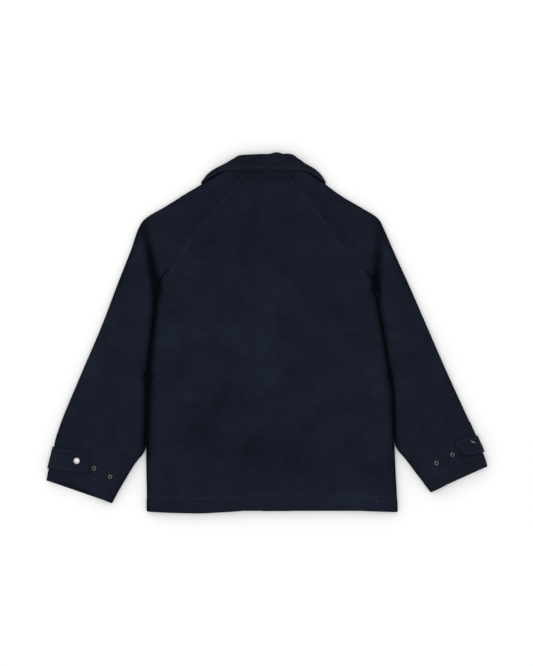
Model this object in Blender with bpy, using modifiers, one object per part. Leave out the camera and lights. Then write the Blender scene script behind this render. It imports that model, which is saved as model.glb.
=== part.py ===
"""A wool jacket with raglan sleeves, laid flat on its front with its back up.

Every piece is cut as its maker would cut it: one back, two fronts that overlap at the middle,
each sleeve in a back and a front half that meet along the shoulder and under the arm, a collar
in one turned-down band, a tab on each cuff, and the snaps. Tables and sizes are in millimetres.
+X is to the right of a viewer over the back, +Y points to the collar, +Z is up from the surface.
"""

import math

import bmesh
import bpy
import numpy as np
from mathutils import Matrix, Vector

MM = 0.001

# The middle of the whole outline, which the part's origin is moved to
OUTLINE_CENTRE = (0.9, -1.5)

# Cloth and seams
CLOTH = 2.2
SEAM_GAP = 0.3
NECK_GAP = 0.7
NECK_SIDE_GAP = 0.6
TAB_GAP = 0.8
GROOVE_EASE = 0.15
SEAM_STRIP = 1.2
FOLD_OVER = 2.5

# Heights of the cloth's middle over the surface
UPPER = 16.8
LOWER = CLOTH / 2
SIDE_SEAM = 8.4
SLEEVE_PLUMP = 2.6
HEM_BUILD_UP = 1.6

# How far the rounded sides reach in from the outline
BODY_ROUND = 13.0
SLEEVE_ROUND = 19.0

# The neck and the collar
NECK_CENTRE = (-5.0, 298.0)
COLLAR_LIFT = 4.6
COLLAR_PLIES = 3.4
COLLAR_SLANT = 0.11
COLLAR_AXIS = (-3.0, 326.4)

# The front closure
FRONT_OVERLAP = 20.0
COLLAR_MEETS = 6.0
FIRST_SNAP = 225.0
SNAP_SPACING = 112.0
SNAP_COUNT = 6
SNAP_POCKET = 1.1

# Snap fasteners, each as a turned outline: how far out and how high, from its top to its base
CUFF_CAP = ((0.0, 2.5), (3.2, 2.3), (5.2, 1.6), (6.2, 0.8), (6.25, 0.0), (0.0, 0.0))
STUD = ((0.0, 1.9), (2.6, 1.9), (3.6, 1.5), (4.4, 0.7), (4.5, 0.0), (0.0, 0.0))
FRONT_CAP = ((0.0, 0.8), (5.4, 0.8), (6.2, 0.4), (6.25, 0.0), (0.0, 0.0))
POCKET_RADIUS = 6.6
SNAP_TURNS = 20

# Cuff tabs: two plies of cloth
TAB_PLIES = 2.8

NAVY_WOOL = ("navy_wool", (0.0100, 0.0135, 0.0240), 0.95, 0.0)
SNAP_METAL = ("snap_metal", (0.62, 0.60, 0.57), 0.32, 1.0)


def table(columns, *rows):
    """The named columns of a table, each as an array with one value a row."""
    return dict(zip(columns.split(), np.array(rows, float).T))


# The back's edges from the neck to the hem: the raglan seams, then the two sides.
BODY = table(
    "y left right",
    (329.6, -40.2, 37.2),
    (312.4, -53.0, 49.4),
    (277.4, -81.0, 76.2),
    (231.4, -119.0, 114.4),
    (202.4, -145.8, 134.0),
    (168.4, -167.0, 158.8),
    (134.4, -189.8, 185.0),
    (106.4, -211.0, 213.4),
    (82.4, -219.0, 220.2),
    (54.4, -222.6, 223.0),
    (4.4, -227.0, 232.4),
    (-35.6, -233.0, 239.0),
    (-85.6, -237.0, 247.6),
    (-135.6, -239.0, 255.0),
    (-205.6, -241.0, 255.6),
    (-270.0, -240.6, 258.2),
    (-328.0, -239.6, 261.2),
    (-358.0, -239.6, 262.4),
)

# The raglan seams of the fronts, from the neck down to the underarms.
FRONT_RAGLAN = table(
    "y left right",
    (271.0, -63.0, 57.0),
    (234.4, -95.0, 89.0),
    (194.4, -127.0, 122.0),
    (154.4, -159.0, 155.0),
    (114.4, -196.0, 196.0),
    (82.4, -219.0, 220.2),
)

# Sections across each sleeve, from the neck to the cuff: where its outer edge lies, the height
# of its inner end on the back and on the front, and how far that end lies from the body's edge.
SLEEVE_COLUMNS = "outer_x outer_y back_y front_y away"
LEFT_SLEEVE = table(
    SLEEVE_COLUMNS,
    (-90.0, 323.0, 329.2, 271.0, 0.0),
    (-123.0, 299.4, 308.4, 252.4, 0.0),
    (-163.0, 275.4, 272.4, 224.4, 0.0),
    (-203.0, 250.4, 236.4, 196.4, 0.0),
    (-240.5, 228.2, 204.4, 170.4, 0.0),
    (-256.4, 206.4, 174.4, 148.4, 0.0),
    (-271.0, 164.4, 136.4, 122.4, 0.0),
    (-285.2, 128.4, 106.4, 102.4, 0.0),
    (-300.0, 90.4, 82.4, 82.4, 0.0),
    (-331.2, 8.4, 12.4, 12.4, 0.3),
    (-370.6, -83.6, -83.6, -83.6, 0.3),
    (-412.0, -183.6, -195.6, -195.6, 0.3),
    (-421.4, -211.6, -229.6, -229.6, 1.2),
    (-426.6, -235.6, -265.6, -265.6, 24.0),
    (-434.8, -269.6, -317.8, -317.8, 56.2),
    (-440.0, -297.0, -342.0, -342.0, 69.4),
)
RIGHT_SLEEVE = table(
    SLEEVE_COLUMNS,
    (84.0, 323.0, 329.2, 271.0, 0.0),
    (113.0, 299.0, 308.4, 252.4, 0.0),
    (149.0, 272.4, 272.4, 224.4, 0.0),
    (188.2, 249.4, 236.4, 196.4, 0.0),
    (221.8, 228.4, 204.4, 170.4, 0.0),
    (234.8, 206.4, 174.4, 148.4, 0.0),
    (253.2, 164.4, 136.4, 122.4, 0.0),
    (269.4, 128.4, 106.4, 102.4, 0.0),
    (286.6, 90.4, 82.4, 82.4, 0.0),
    (322.2, 8.4, 12.4, 12.4, 0.3),
    (362.4, -83.6, -83.6, -83.6, 0.3),
    (404.6, -175.6, -185.6, -185.6, 0.3),
    (411.0, -187.6, -221.6, -221.6, 1.2),
    (423.0, -215.6, -259.6, -259.6, 25.0),
    (434.0, -243.2, -298.8, -298.8, 52.4),
    (442.0, -269.0, -320.0, -320.0, 67.6),
)

# The largest folds of the upper cloth: each runs from one point to another, with its height
# over the cloth at its start and at its end. Troughs are below zero.
FOLDS = table(
    "x1 y1 x2 y2 half_width start end",
    (-245, 212, -220, 84, 11, -1.0, -6.5),
    (225, 212, 219, 88, 11, -1.0, -6.5),
    (8, 90, 8, -144, 16, 1.6, 1.8),
    (-205, -4, -63, -8, 22, 1.0, 1.4),
    (139, -116, 225, -116, 24, 1.2, 1.0),
    (-77, -120, -125, -196, 13, -1.4, -1.2),
    (-183, -316, -95, -272, 12, 1.2, 1.2),
    (-283, -116, -275, -216, 10, 1.4, 1.6),
    (-309, -130, -306, -236, 9, -1.6, -1.2),
    (-373, -164, -329, -172, 9, -1.4, -1.0),
    (300, 40, 352, -90, 14, 1.4, 1.0),
    (352, -60, 392, -150, 12, -1.2, -1.4),
)

# The collar by its share of the neckline, from the middle of the back to the middle of the
# front: the top of its stand, its outer edge with its height, how far the fall stands off the
# stand and puffs out, and which way is out: 0 up, 90 sideways and 180 down.
COLLAR = table(
    "share roll_x roll_y edge_x edge_y edge_z gap puff turn",
    (0.00, 0, 350.4, 0, 322.6, 20.8, 6.5, 0.8, 0),
    (0.12, 28, 350.2, 30, 322.4, 20.8, 6.5, 0.8, 0),
    (0.22, 51, 348.8, 56, 322.2, 20.8, 6.5, 0.8, 0),
    (0.30, 63, 342.0, 80, 321.6, 20.6, 6.0, 1.5, 12),
    (0.36, 71, 336.0, 98, 314.6, 19.6, 5.5, 3.0, 38),
    (0.40, 75, 332.0, 114, 304.0, 16.5, 5.0, 5.0, 65),
    (0.43, 77, 329.0, 122, 300.6, 10.5, 4.6, 6.0, 90),
    (0.46, 73, 326.0, 124, 297.0, 3.6, 4.2, 2.0, 125),
    (0.50, 64, 319.0, 121, 284.0, 1.75, 3.85, 0.0, 160),
    (0.58, 51, 308.0, 117, 264.0, 1.75, 3.85, 0.0, 180),
    (0.70, 38, 288.0, 102, 242.0, 1.75, 3.85, 0.0, 180),
    (0.85, 21, 277.0, 77, 224.0, 1.75, 3.85, 0.0, 180),
    (1.00, 7, 268.0, 50, 208.0, 1.75, 3.85, 0.0, 180),
)
COLLAR_STATIONS = (
    0.0, 0.07, 0.14, 0.20, 0.25, 0.30, 0.34, 0.37, 0.40, 0.43,
    0.46, 0.50, 0.55, 0.62, 0.70, 0.78, 0.86, 0.93, 1.0,
)  # fmt: skip


# Each cuff's tab on its sleeve's back: the rows of the sleeve's table where its upper and lower
# edge lie at the outer edge and at its end, how long those edges are, how far its lower edge
# stands off the sleeve, and where its cap lies along and across it, with the cap's lean.
CUFF_TABS = {
    -1: dict(upper=(12.75, 12.74), lower=(14.1, 13.63), length=(76, 85), lift=0.6,
             cap=(0.72, 0.52), lean=0),
    1: dict(upper=(12.71, 12.59), lower=(13.88, 13.54), length=(50, 40), lift=8.5,
            cap=(0.50, 0.44), lean=34),
}  # fmt: skip

# The bare studs on each sleeve: the row of its table, and how far from its outer edge.
CUFF_STUDS = {-1: ((13.44, 95.6), (13.59, 130.0)), 1: ((13.32, 65.0), (13.45, 100.5))}


def smooth(at, places, values):
    """The value at a place, on a smooth curve through the values that never overshoots them."""
    if places[0] > places[-1]:
        places, values = places[::-1], values[::-1]
    at = float(np.clip(at, places[0], places[-1]))
    i = int(np.clip(np.searchsorted(places, at) - 1, 0, len(places) - 2))
    slopes = np.diff(values) / np.diff(places)

    def tangent(k):
        before = slopes[max(k - 1, 0)]
        after = slopes[min(k, len(slopes) - 1)]
        if before * after <= 0:
            return 0.0
        mean = (before + after) / 2
        return math.copysign(min(abs(mean), 2 * min(abs(before), abs(after))), mean)

    width = places[i + 1] - places[i]
    t = (at - places[i]) / width
    rise = t * t * (3 - 2 * t)
    leave = t * (1 - t) ** 2 * width * tangent(i)
    arrive = t * t * (1 - t) * width * tangent(i + 1)
    return values[i] + (values[i + 1] - values[i]) * rise + leave - arrive


def ease(value, low, high):
    """Zero at low, one at high, and a soft step between them."""
    t = min(max((value - low) / (high - low), 0.0), 1.0)
    return t * t * (3 - 2 * t)


def fold_height(x, y):
    """What the large folds add to the upper cloth at a place."""
    total = 0.0
    for row in range(len(FOLDS["x1"])):
        x1, y1, x2, y2, half_width, start, end = (FOLDS[name][row] for name in FOLDS)
        run = (x2 - x1, y2 - y1)
        share = ((x - x1) * run[0] + (y - y1) * run[1]) / (run[0] ** 2 + run[1] ** 2)
        share = min(max(share, 0.0), 1.0)
        off = math.hypot(x - x1 - share * run[0], y - y1 - share * run[1])
        total += (start + (end - start) * share) * math.exp(-((off / half_width) ** 2))
    return total


def upper_height(x, y):
    """The middle of the cloth of the back, which is thicker over the closure at the hem."""
    over_closure = math.exp(-(((x - centre_line(y)) / 60) ** 2))
    return UPPER + fold_height(x, y) + HEM_BUILD_UP * over_closure * ease(-y, 270, 340)


def lower_height(x, y):
    """The middle of the cloth of the fronts, which the collar lifts near the neck."""
    reach = math.hypot(x - NECK_CENTRE[0], y - NECK_CENTRE[1])
    return LOWER + COLLAR_LIFT * (1 - ease(reach, 132, 175))


def right_front_height(x, y):
    """The right front climbs onto the edge of the left one, and over its turned-up hem."""
    climb = CLOTH + SEAM_GAP + FOLD_OVER * ease(-y, 290, 322)
    return lower_height(x, y) + climb * (1 - ease(x - centre_line(y), 24, 50))


def plump(height, rows_down):
    """The height of a sleeve's upper cloth, which stands up more below the underarm."""
    return lambda x, y: height(x, y) + SLEEVE_PLUMP * ease(rows_down, 7, 10)


def centre_line(y):
    """Where the middle of the body lies at a height."""
    return (body_edge(-1, y, BODY) + body_edge(1, y, BODY)) / 2


def body_edge(side, y, edges):
    """The edge of the back or of the fronts on one side, at a height."""
    if edges is FRONT_RAGLAN and y < FRONT_RAGLAN["y"][-1]:
        edges = BODY
    return smooth(y, edges["y"], edges["left" if side < 0 else "right"])


def side_curl(y):
    """How far the cloth beside the body's edge turns down: none at the neck, all at the side."""
    return 1 - ease(y, 84, 140)


def seam_inset(side, y, edges):
    """How far the middle of the cloth stays from a seam line, measured along the row: more
    where two edges turn down face to face than where they meet end to end."""
    curl = side_curl(y)
    slant = (body_edge(side, y + 2, edges) - body_edge(side, y - 2, edges)) / 4
    square = SEAM_GAP / 2 + CLOTH / 2 * curl / math.hypot(curl, 1 - curl)
    square += GROOVE_EASE * math.sin(math.pi * curl)
    return square * math.hypot(1, slant)


def section(start, end, curls, rounds, height, direction, inner_count, near_end=(), bow=0.0):
    """One row of points across a sheet of cloth, from edge to edge.

    Each edge turns towards the side seam by its curl over its round; direction is 1 for an
    upper sheet, which turns down, and -1 for a lower one, which turns up. Further columns
    may lie at fixed distances from the end.
    """
    start, end = np.array(start, float), np.array(end, float)
    width = float(np.linalg.norm(end - start))
    across = (end - start) / width
    seam = SIDE_SEAM + direction * SEAM_GAP / 2
    places = []
    for curl, radius in zip(curls, rounds):
        places.append(
            [(0.0, 0.0), ((1 - curl) * SEAM_STRIP, 0.0), (0.293 * radius, 0.707), (radius, 1.0)]
        )
    first = places[0]
    last = [(width - distance, share) for distance, share in reversed(places[1])]
    reach = max((rounds[1], *near_end))
    between = [*np.linspace(rounds[0], width - reach, inner_count + 2)[1:-1]]
    between += [width - distance for distance in sorted(near_end, reverse=True)]
    line = first + [(distance, 1.0) for distance in between] + last
    row = []
    for number, (distance, share) in enumerate(line):
        curl = curls[0 if number < 4 else 1]
        x, y = start + across * distance
        y -= bow * 4 * distance * (width - distance) / width**2
        crest = height(x, y)
        low = crest + curl * (seam - crest)
        z = low + (crest - low) * share
        if number in (1, len(line) - 2):
            z += direction * curl * SEAM_STRIP
        row.append((x, y, z))
    return row


def grid_normals(grid, direction):
    """The direction out of the cloth at each point of a grid of rows."""
    down = np.gradient(grid, axis=0)
    across = np.gradient(grid, axis=1)
    normals = np.cross(across, down)
    normals /= np.linalg.norm(normals, axis=2, keepdims=True)
    normals[:, 1] = normals[:, 0]
    normals[:, -2] = normals[:, -1]
    flip = np.sign(normals[:, grid.shape[1] // 2, 2]).mean()
    return normals * (direction if flip > 0 else -direction)


def turn_up(grid, direction):
    """The grid with its last strip turned up inside as a hem."""
    normals = grid_normals(grid, direction)
    run = grid[-1] - grid[-2]
    run /= np.linalg.norm(run, axis=1, keepdims=True)
    outer_end = grid[-1] - run * (CLOTH + FOLD_OVER) / 2
    crown = grid[-1] - run * CLOTH / 2 - normals[-1] * FOLD_OVER / 2
    inner_end = outer_end - normals[-1] * FOLD_OVER
    inner_top = grid[-2] - normals[-2] * FOLD_OVER
    return np.concatenate([grid[:-1], [outer_end, crown, inner_end, inner_top]])


def spread(heights, count):
    """So many heights between the given ones, with the last two kept, which bound the hem."""
    places = np.linspace(0, len(heights) - 2, count - 1)
    return [*np.interp(places, range(len(heights)), heights), heights[-1]]


BACK_HEIGHTS = spread(BODY["y"], 24)
FRONT_HEIGHTS = spread([*FRONT_RAGLAN["y"], *BODY["y"][9:]], 22)


def back_rows():
    """The sections of the back, from the neck seam to the hem."""
    rows = []
    for y in BACK_HEIGHTS:
        curl = side_curl(y)
        start = (body_edge(-1, y, BODY) + seam_inset(-1, y, BODY), y)
        end = (body_edge(1, y, BODY) - seam_inset(1, y, BODY), y)
        rows.append(section(start, end, (curl, curl), (BODY_ROUND,) * 2, upper_height, 1, 13))
    return turn_up(np.array(rows), 1)


def front_rows(side):
    """The sections of one front, from its side to just past the middle."""
    rows = []
    height = right_front_height if side > 0 else lower_height
    columns = (20, 34, 40, 46, 56, 72) if side > 0 else (20, 34, 40)
    for number, y in enumerate(FRONT_HEIGHTS):
        curl = side_curl(y)
        inset = seam_inset(side, y, FRONT_RAGLAN)
        start = (body_edge(side, y, FRONT_RAGLAN) - side * inset, y)
        near_neck = max(0.0, 1 - number / 5)
        end_y = y - 20.0 * near_neck
        end = (centre_line(end_y) - side * FRONT_OVERLAP, end_y)
        bow = 10.0 * near_neck
        rounds = (BODY_ROUND, 6)
        rows.append(section(start, end, (curl, 0), rounds, height, -1, 5, columns, bow))
    return turn_up(np.array(rows), -1)


def sleeve_places(sleeve, layer):
    """Where a sleeve's rows lie in its table: each row beside the body meets one of its rows."""
    last = len(sleeve["away"]) - 1
    dense = np.linspace(0, last, 400)
    ends = [smooth(place, np.arange(last + 1), sleeve[f"{layer}_y"]) for place in dense]
    heights = BACK_HEIGHTS if layer == "back" else FRONT_HEIGHTS
    beside = [y for y in heights if y > sleeve["back_y"][-4]]
    return [*np.interp(np.negative(beside), np.negative(ends), dense), *range(last - 3, last + 1)]


def sleeve_rows(side, layer, places=None):
    """The sections of the back or front half of a sleeve, from the neck to the cuff."""
    sleeve = LEFT_SLEEVE if side < 0 else RIGHT_SLEEVE
    upper = layer == "back"
    edges = BODY if upper else FRONT_RAGLAN
    last = len(sleeve["away"]) - 1
    rows = []
    for place in sleeve_places(sleeve, layer) if places is None else places:
        read = {name: smooth(place, np.arange(last + 1), sleeve[name]) for name in sleeve}
        inner_y = read[f"{layer}_y"]
        curl = side_curl(inner_y)
        out = seam_inset(side, inner_y, edges) + read["away"]
        inner = (body_edge(side, inner_y, edges) + side * out, inner_y)
        outer = np.array([read["outer_x"], read["outer_y"]])
        inward = np.array(inner) - outer
        outer = outer + inward / np.linalg.norm(inward) * CLOTH / 2
        height = plump(upper_height, place) if upper else lower_height
        direction = 1 if upper else -1
        count = 5 if upper else 4
        rounds = (SLEEVE_ROUND, SLEEVE_ROUND)
        rows.append(section(inner, outer, (curl, 1), rounds, height, direction, count))
    return np.array(rows)


def sleeve_point(side, place, distance):
    """A point in the cloth of a sleeve's back, so far from its outer edge along a row."""
    row = sleeve_rows(side, "back", [place])[0][::-1]
    length = np.linalg.norm(np.diff(row, axis=0), axis=1).sum()
    return point_along(row, distance / length)


def tab_grid(side, around=10, across=6):
    """The middle of a cuff tab, from the sleeve's own points moved out along its surface."""
    tab = CUFF_TABS[side]
    rows = []
    for along in np.linspace(0, 1, around):
        upper, lower = (np.interp(along, (0, 1), tab[name]) for name in ("upper", "lower"))
        rows.append(
            [
                sleeve_point(
                    side,
                    upper + (lower - upper) * share,
                    1.0 + along * np.interp(share, (0, 1), tab["length"]),
                )
                for share in np.linspace(0, 1, across)
            ]
        )
    cloth = np.array(rows)
    normals = grid_normals(cloth, 1)
    along = np.linspace(0, 1, around)[:, None, None]
    share = np.linspace(0, 1, across)[None, :, None]
    lift = tab["lift"] * share**1.5 * np.sin(math.pi / 2 * np.minimum(1, 1.6 * along))
    return cloth + normals * (CLOTH / 2 + TAB_GAP + TAB_PLIES / 2 + lift)


def seat(point, out, height):
    """The placing of a turned piece whose base lies on a surface, facing out of it."""
    out = Vector(out).normalized()
    turn = Vector((0, 0, 1)).rotation_difference(out).to_matrix().to_4x4()
    return Matrix.Translation((Vector(point) + out * height) * MM) @ turn


def stud_seat(side, place, distance):
    """Where a bare stud sits on the back of a sleeve."""
    here = sleeve_point(side, place, distance)
    further = sleeve_point(side, place, distance + 2) - here
    down = sleeve_point(side, place + 0.05, distance) - here
    out = np.cross(further, down)
    out *= math.copysign(1, out[2])
    return seat(here, out, CLOTH / 2 + SEAM_GAP)


def cap_seat(side, grid):
    """Where the cap sits on a cuff tab, with its lean."""
    tab = CUFF_TABS[side]
    around, across = grid.shape[:2]
    row, column = tab["cap"][0] * (around - 1), tab["cap"][1] * (across - 1)
    i, j = int(row), int(column)
    normals = grid_normals(grid, 1)
    weights = ((1 - row + i) * (1 - column + j), (1 - row + i) * (column - j),
               (row - i) * (1 - column + j), (row - i) * (column - j))  # fmt: skip
    corners = ((i, j), (i, j + 1), (i + 1, j), (i + 1, j + 1))
    point = sum(weight * grid[corner] for weight, corner in zip(weights, corners))
    out = Vector(sum(weight * normals[corner] for weight, corner in zip(weights, corners)))
    lean = Matrix.Rotation(math.radians(tab["lean"]), 3, Vector((-0.84, 0.53, 0)))
    edge_rise = CUFF_CAP[-2][0] * math.sin(math.radians(1.25 * tab["lean"]))
    return seat(point, lean @ out, TAB_PLIES / 2 + SEAM_GAP + edge_rise)


def turned_piece(name, outline, placing, collection):
    """A snap's turned piece: its outline at +X, turned about its middle by a Screw."""
    mesh = bpy.data.meshes.new(name)
    edges = [(k, k + 1) for k in range(len(outline) - 1)]
    mesh.from_pydata([(out * MM, 0, up * MM) for out, up in outline], edges, [])
    piece = bpy.data.objects.new(name, mesh)
    mesh.materials.append(material(SNAP_METAL))
    collection.objects.link(piece)
    turning = piece.modifiers.new("turning", "SCREW")
    turning.steps = turning.render_steps = SNAP_TURNS
    turning.use_merge_vertices = True
    turning.merge_threshold = 0.0001
    turning.use_smooth_shade = True
    piece.matrix_world = placing
    return piece


def front_snaps(front, jacket, cutters):
    """The caps of the front closure, each flush in its own dent in the left front's cloth."""
    dents = bmesh.new()
    for number in range(SNAP_COUNT):
        y = FIRST_SNAP - number * SNAP_SPACING
        x = centre_line(y)
        surface = lower_height(x, y) - CLOTH / 2
        dented = number > 0
        base = SNAP_POCKET - SEAM_GAP if dented else surface - SEAM_GAP
        placing = Matrix.Translation(Vector((x, y, base)) * MM) @ Matrix.Rotation(math.pi, 4, "X")
        turned_piece(f"front_snap_{number + 1}", FRONT_CAP, placing, jacket)
        if dented:
            bmesh.ops.create_cone(
                dents,
                cap_ends=True,
                segments=SNAP_TURNS,
                radius1=POCKET_RADIUS * MM,
                radius2=POCKET_RADIUS * MM,
                depth=2 * SNAP_POCKET * MM,
                matrix=Matrix.Translation(Vector((x, y, 0)) * MM),
            )
    mesh = bpy.data.meshes.new("snap_dents")
    dents.to_mesh(mesh)
    dents.free()
    cutter = bpy.data.objects.new("snap_dents", mesh)
    cutter.hide_render = True
    cutter.display_type = "WIRE"
    cutters.objects.link(cutter)
    cut = front.modifiers.new("snap_dents", "BOOLEAN")
    cut.operation = "DIFFERENCE"
    cut.object = cutter


def arched_cuff(grid, arch):
    """The upper cloth of a cuff, whose edge is drawn back where the cuff stands open."""
    count = grid.shape[1]
    share = np.clip((np.arange(count) - 1) / (count - 3), 0, 1)[:, None]
    back = grid[-2] - grid[-1]
    back /= np.linalg.norm(back, axis=1, keepdims=True)
    draw = arch * np.sin(math.pi * share**1.5) * back
    grid[-1] += draw
    grid[-2] += draw
    return grid


def collar_rows(neckline_left, neckline_right):
    """Profiles of the collar round the neckline: up the stand, over the roll, down the fall."""
    rows = []
    stations = [(-1, share) for share in reversed(COLLAR_STATIONS)]
    stations += [(1, share) for share in COLLAR_STATIONS[1:]]
    for side, share in stations:
        seam = point_along(neckline_left if side < 0 else neckline_right, share)
        read = {name: smooth(share, COLLAR["share"], COLLAR[name]) for name in COLLAR}
        axis = COLLAR_AXIS[0] + COLLAR_SLANT * (read["roll_y"] - COLLAR_AXIS[1])
        roll = np.array([axis + side * read["roll_x"], read["roll_y"], seam[2]])
        axis = COLLAR_AXIS[0] + COLLAR_SLANT * (read["edge_y"] - COLLAR_AXIS[1])
        edge = np.array([axis + side * read["edge_x"], read["edge_y"], read["edge_z"]])
        rise = (roll - seam) / np.linalg.norm(roll - seam)
        turn = math.radians(read["turn"])
        sideways = math.sin(turn)
        out = np.array([side * 0.67 * sideways, 0.74 * sideways, math.cos(turn)])
        out /= np.linalg.norm(out)
        gap = read["gap"]
        if read["turn"] > 120:
            gap = max(gap, seam[2] - read["edge_z"])
        foot = seam + rise * (NECK_GAP + NECK_SIDE_GAP * sideways)
        fall = roll + out * gap
        control = (fall + edge) / 2 + out * 2 * read["puff"]
        profile = [
            foot,
            (foot + roll) / 2,
            roll,
            roll + rise * 0.32 * gap + out * 0.18 * gap,
            roll + rise * 0.44 * gap + out * 0.5 * gap,
            roll + rise * 0.32 * gap + out * 0.82 * gap,
        ]
        for t in (0.0, 0.35, 0.7, 1.0):
            profile.append(fall * (1 - t) ** 2 + control * 2 * t * (1 - t) + edge * t * t)
        rows.append(profile)
    return np.array(rows)


def point_along(line, share):
    """The point at a share of a line's length."""
    steps = np.linalg.norm(np.diff(line, axis=0), axis=1)
    travelled = np.concatenate([[0.0], np.cumsum(steps)])
    target = share * travelled[-1]
    return np.array([np.interp(target, travelled, line[:, axis]) for axis in range(3)])


def necklines(grids):
    """The neck seam's left and right half, from the middle of the back to the front."""
    middle = point_along(grids["back_panel"][0], 0.5)
    halves = []
    for side, word in ((-1, "left"), (1, "right")):
        back = grids["back_panel"][0]
        back = back[side * (back[:, 0] - middle[0]) > 0]
        if side < 0:
            back = back[::-1]
        front = grids[f"front_{word}"][0]
        limit = centre_line(front[-1][1]) + side * COLLAR_MEETS
        front = front[side * (front[:, 0] - limit) > 0]
        halves.append(
            np.concatenate(
                [
                    [middle],
                    back,
                    grids[f"sleeve_{word}_back"][0],
                    grids[f"sleeve_{word}_front"][0][::-1],
                    front,
                ]
            )
        )
    return halves


def material(finish):
    """A plain material of the finish's colour, made once."""
    name, colour, roughness, metallic = finish
    found = bpy.data.materials.get(name)
    if found:
        return found
    made = bpy.data.materials.new(name)
    made.use_nodes = True
    shader = made.node_tree.nodes["Principled BSDF"]
    shader.inputs["Base Color"].default_value = (*colour, 1)
    shader.inputs["Roughness"].default_value = roughness
    shader.inputs["Metallic"].default_value = metallic
    made.diffuse_color = (*colour, 1)
    return made


def add_object(name, mesh, finish, collection):
    """An object of the jacket with its material and smooth sides."""
    mesh.shade_smooth()
    mesh.set_sharp_from_angle(angle=math.radians(40))
    mesh.materials.append(material(finish))
    thing = bpy.data.objects.new(name, mesh)
    collection.objects.link(thing)
    return thing


def cloth_sheet(name, grid, thickness, collection):
    """A sheet of cloth lofted through the rows of a grid, given its thickness by Solidify."""
    rows, columns = grid.shape[:2]
    mesh = bpy.data.meshes.new(name)
    faces = []
    for row in range(rows - 1):
        for column in range(columns - 1):
            corner = row * columns + column
            faces.append((corner, corner + columns, corner + columns + 1, corner + 1))
    mesh.from_pydata([tuple(point) for point in grid.reshape(-1, 3) * MM], [], faces)
    sheet = add_object(name, mesh, NAVY_WOOL, collection)
    wall = sheet.modifiers.new("cloth", "SOLIDIFY")
    wall.thickness = thickness * MM
    wall.offset = 0
    return sheet


def start_scene():
    """An empty scene with a collection for the jacket and one for its cutters."""
    for thing in list(bpy.data.objects):
        bpy.data.objects.remove(thing)
    jacket = bpy.data.collections.new("jacket")
    cutters = bpy.data.collections.new("cutters")
    cutters.hide_render = True
    bpy.context.scene.collection.children.link(jacket)
    bpy.context.scene.collection.children.link(cutters)
    return jacket, cutters


def main():
    jacket, cutters = start_scene()
    grids = {
        "back_panel": back_rows(),
        "front_left": front_rows(-1),
        "front_right": front_rows(1),
    }
    for side, word, arch in ((-1, "left", 7.0), (1, "right", 1.5)):
        back = arched_cuff(sleeve_rows(side, "back"), arch)
        grids[f"sleeve_{word}_back"] = turn_up(back, 1)
        grids[f"sleeve_{word}_front"] = turn_up(sleeve_rows(side, "front"), -1)
    sheets = {name: cloth_sheet(name, grid, CLOTH, jacket) for name, grid in grids.items()}
    collar = collar_rows(*necklines(grids))
    cloth_sheet("collar", collar, COLLAR_PLIES, jacket)
    for side, word in ((-1, "left"), (1, "right")):
        tab = tab_grid(side)
        cloth_sheet(f"cuff_tab_{word}", tab, TAB_PLIES, jacket)
        turned_piece(f"cuff_cap_{word}", CUFF_CAP, cap_seat(side, tab), jacket)
        for number, (place, distance) in enumerate(CUFF_STUDS[side], start=1):
            name = f"cuff_stud_{word}_{number}"
            turned_piece(name, STUD, stud_seat(side, place, distance), jacket)
    front_snaps(sheets["front_left"], jacket, cutters)
    centre = bpy.data.objects.new("centre_of_the_outline", None)
    jacket.objects.link(centre)
    centre.location = Vector((-OUTLINE_CENTRE[0], -OUTLINE_CENTRE[1], 0)) * MM
    for thing in [*jacket.objects, *cutters.objects]:
        if thing is not centre:
            thing.parent = centre


main()
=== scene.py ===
# %% [markdown]
# # A wool jacket laid flat, back up
# The imported model is the fixed frame: every piece made here lies where its solid
# lies, and takes over from it. All tables are in millimetres, seen from above, and become metres
# when a piece is made.

# %% The frame
import math

import bpy
import numpy as np
from mathutils import Matrix, Vector


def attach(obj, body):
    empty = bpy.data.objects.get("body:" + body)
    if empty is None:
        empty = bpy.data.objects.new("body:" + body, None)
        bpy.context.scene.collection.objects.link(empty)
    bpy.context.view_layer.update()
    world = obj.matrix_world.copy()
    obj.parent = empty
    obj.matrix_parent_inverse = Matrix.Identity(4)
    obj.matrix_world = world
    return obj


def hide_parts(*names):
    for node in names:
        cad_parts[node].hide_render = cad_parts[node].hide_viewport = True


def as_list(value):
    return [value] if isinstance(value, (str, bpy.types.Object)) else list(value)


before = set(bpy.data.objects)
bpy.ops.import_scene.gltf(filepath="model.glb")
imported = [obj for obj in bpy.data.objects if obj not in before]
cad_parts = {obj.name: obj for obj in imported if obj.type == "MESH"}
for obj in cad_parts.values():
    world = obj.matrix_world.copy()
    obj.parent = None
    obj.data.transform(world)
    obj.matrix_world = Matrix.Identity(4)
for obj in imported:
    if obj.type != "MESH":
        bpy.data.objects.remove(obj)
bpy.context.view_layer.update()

MM = 0.001
OUTLINE_CENTRE = (0.9, -1.5)


def table(columns, *rows):
    """The named columns of a table, each as an array with one value a row."""
    return dict(zip(columns.split(), np.array(rows, float).T))


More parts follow.
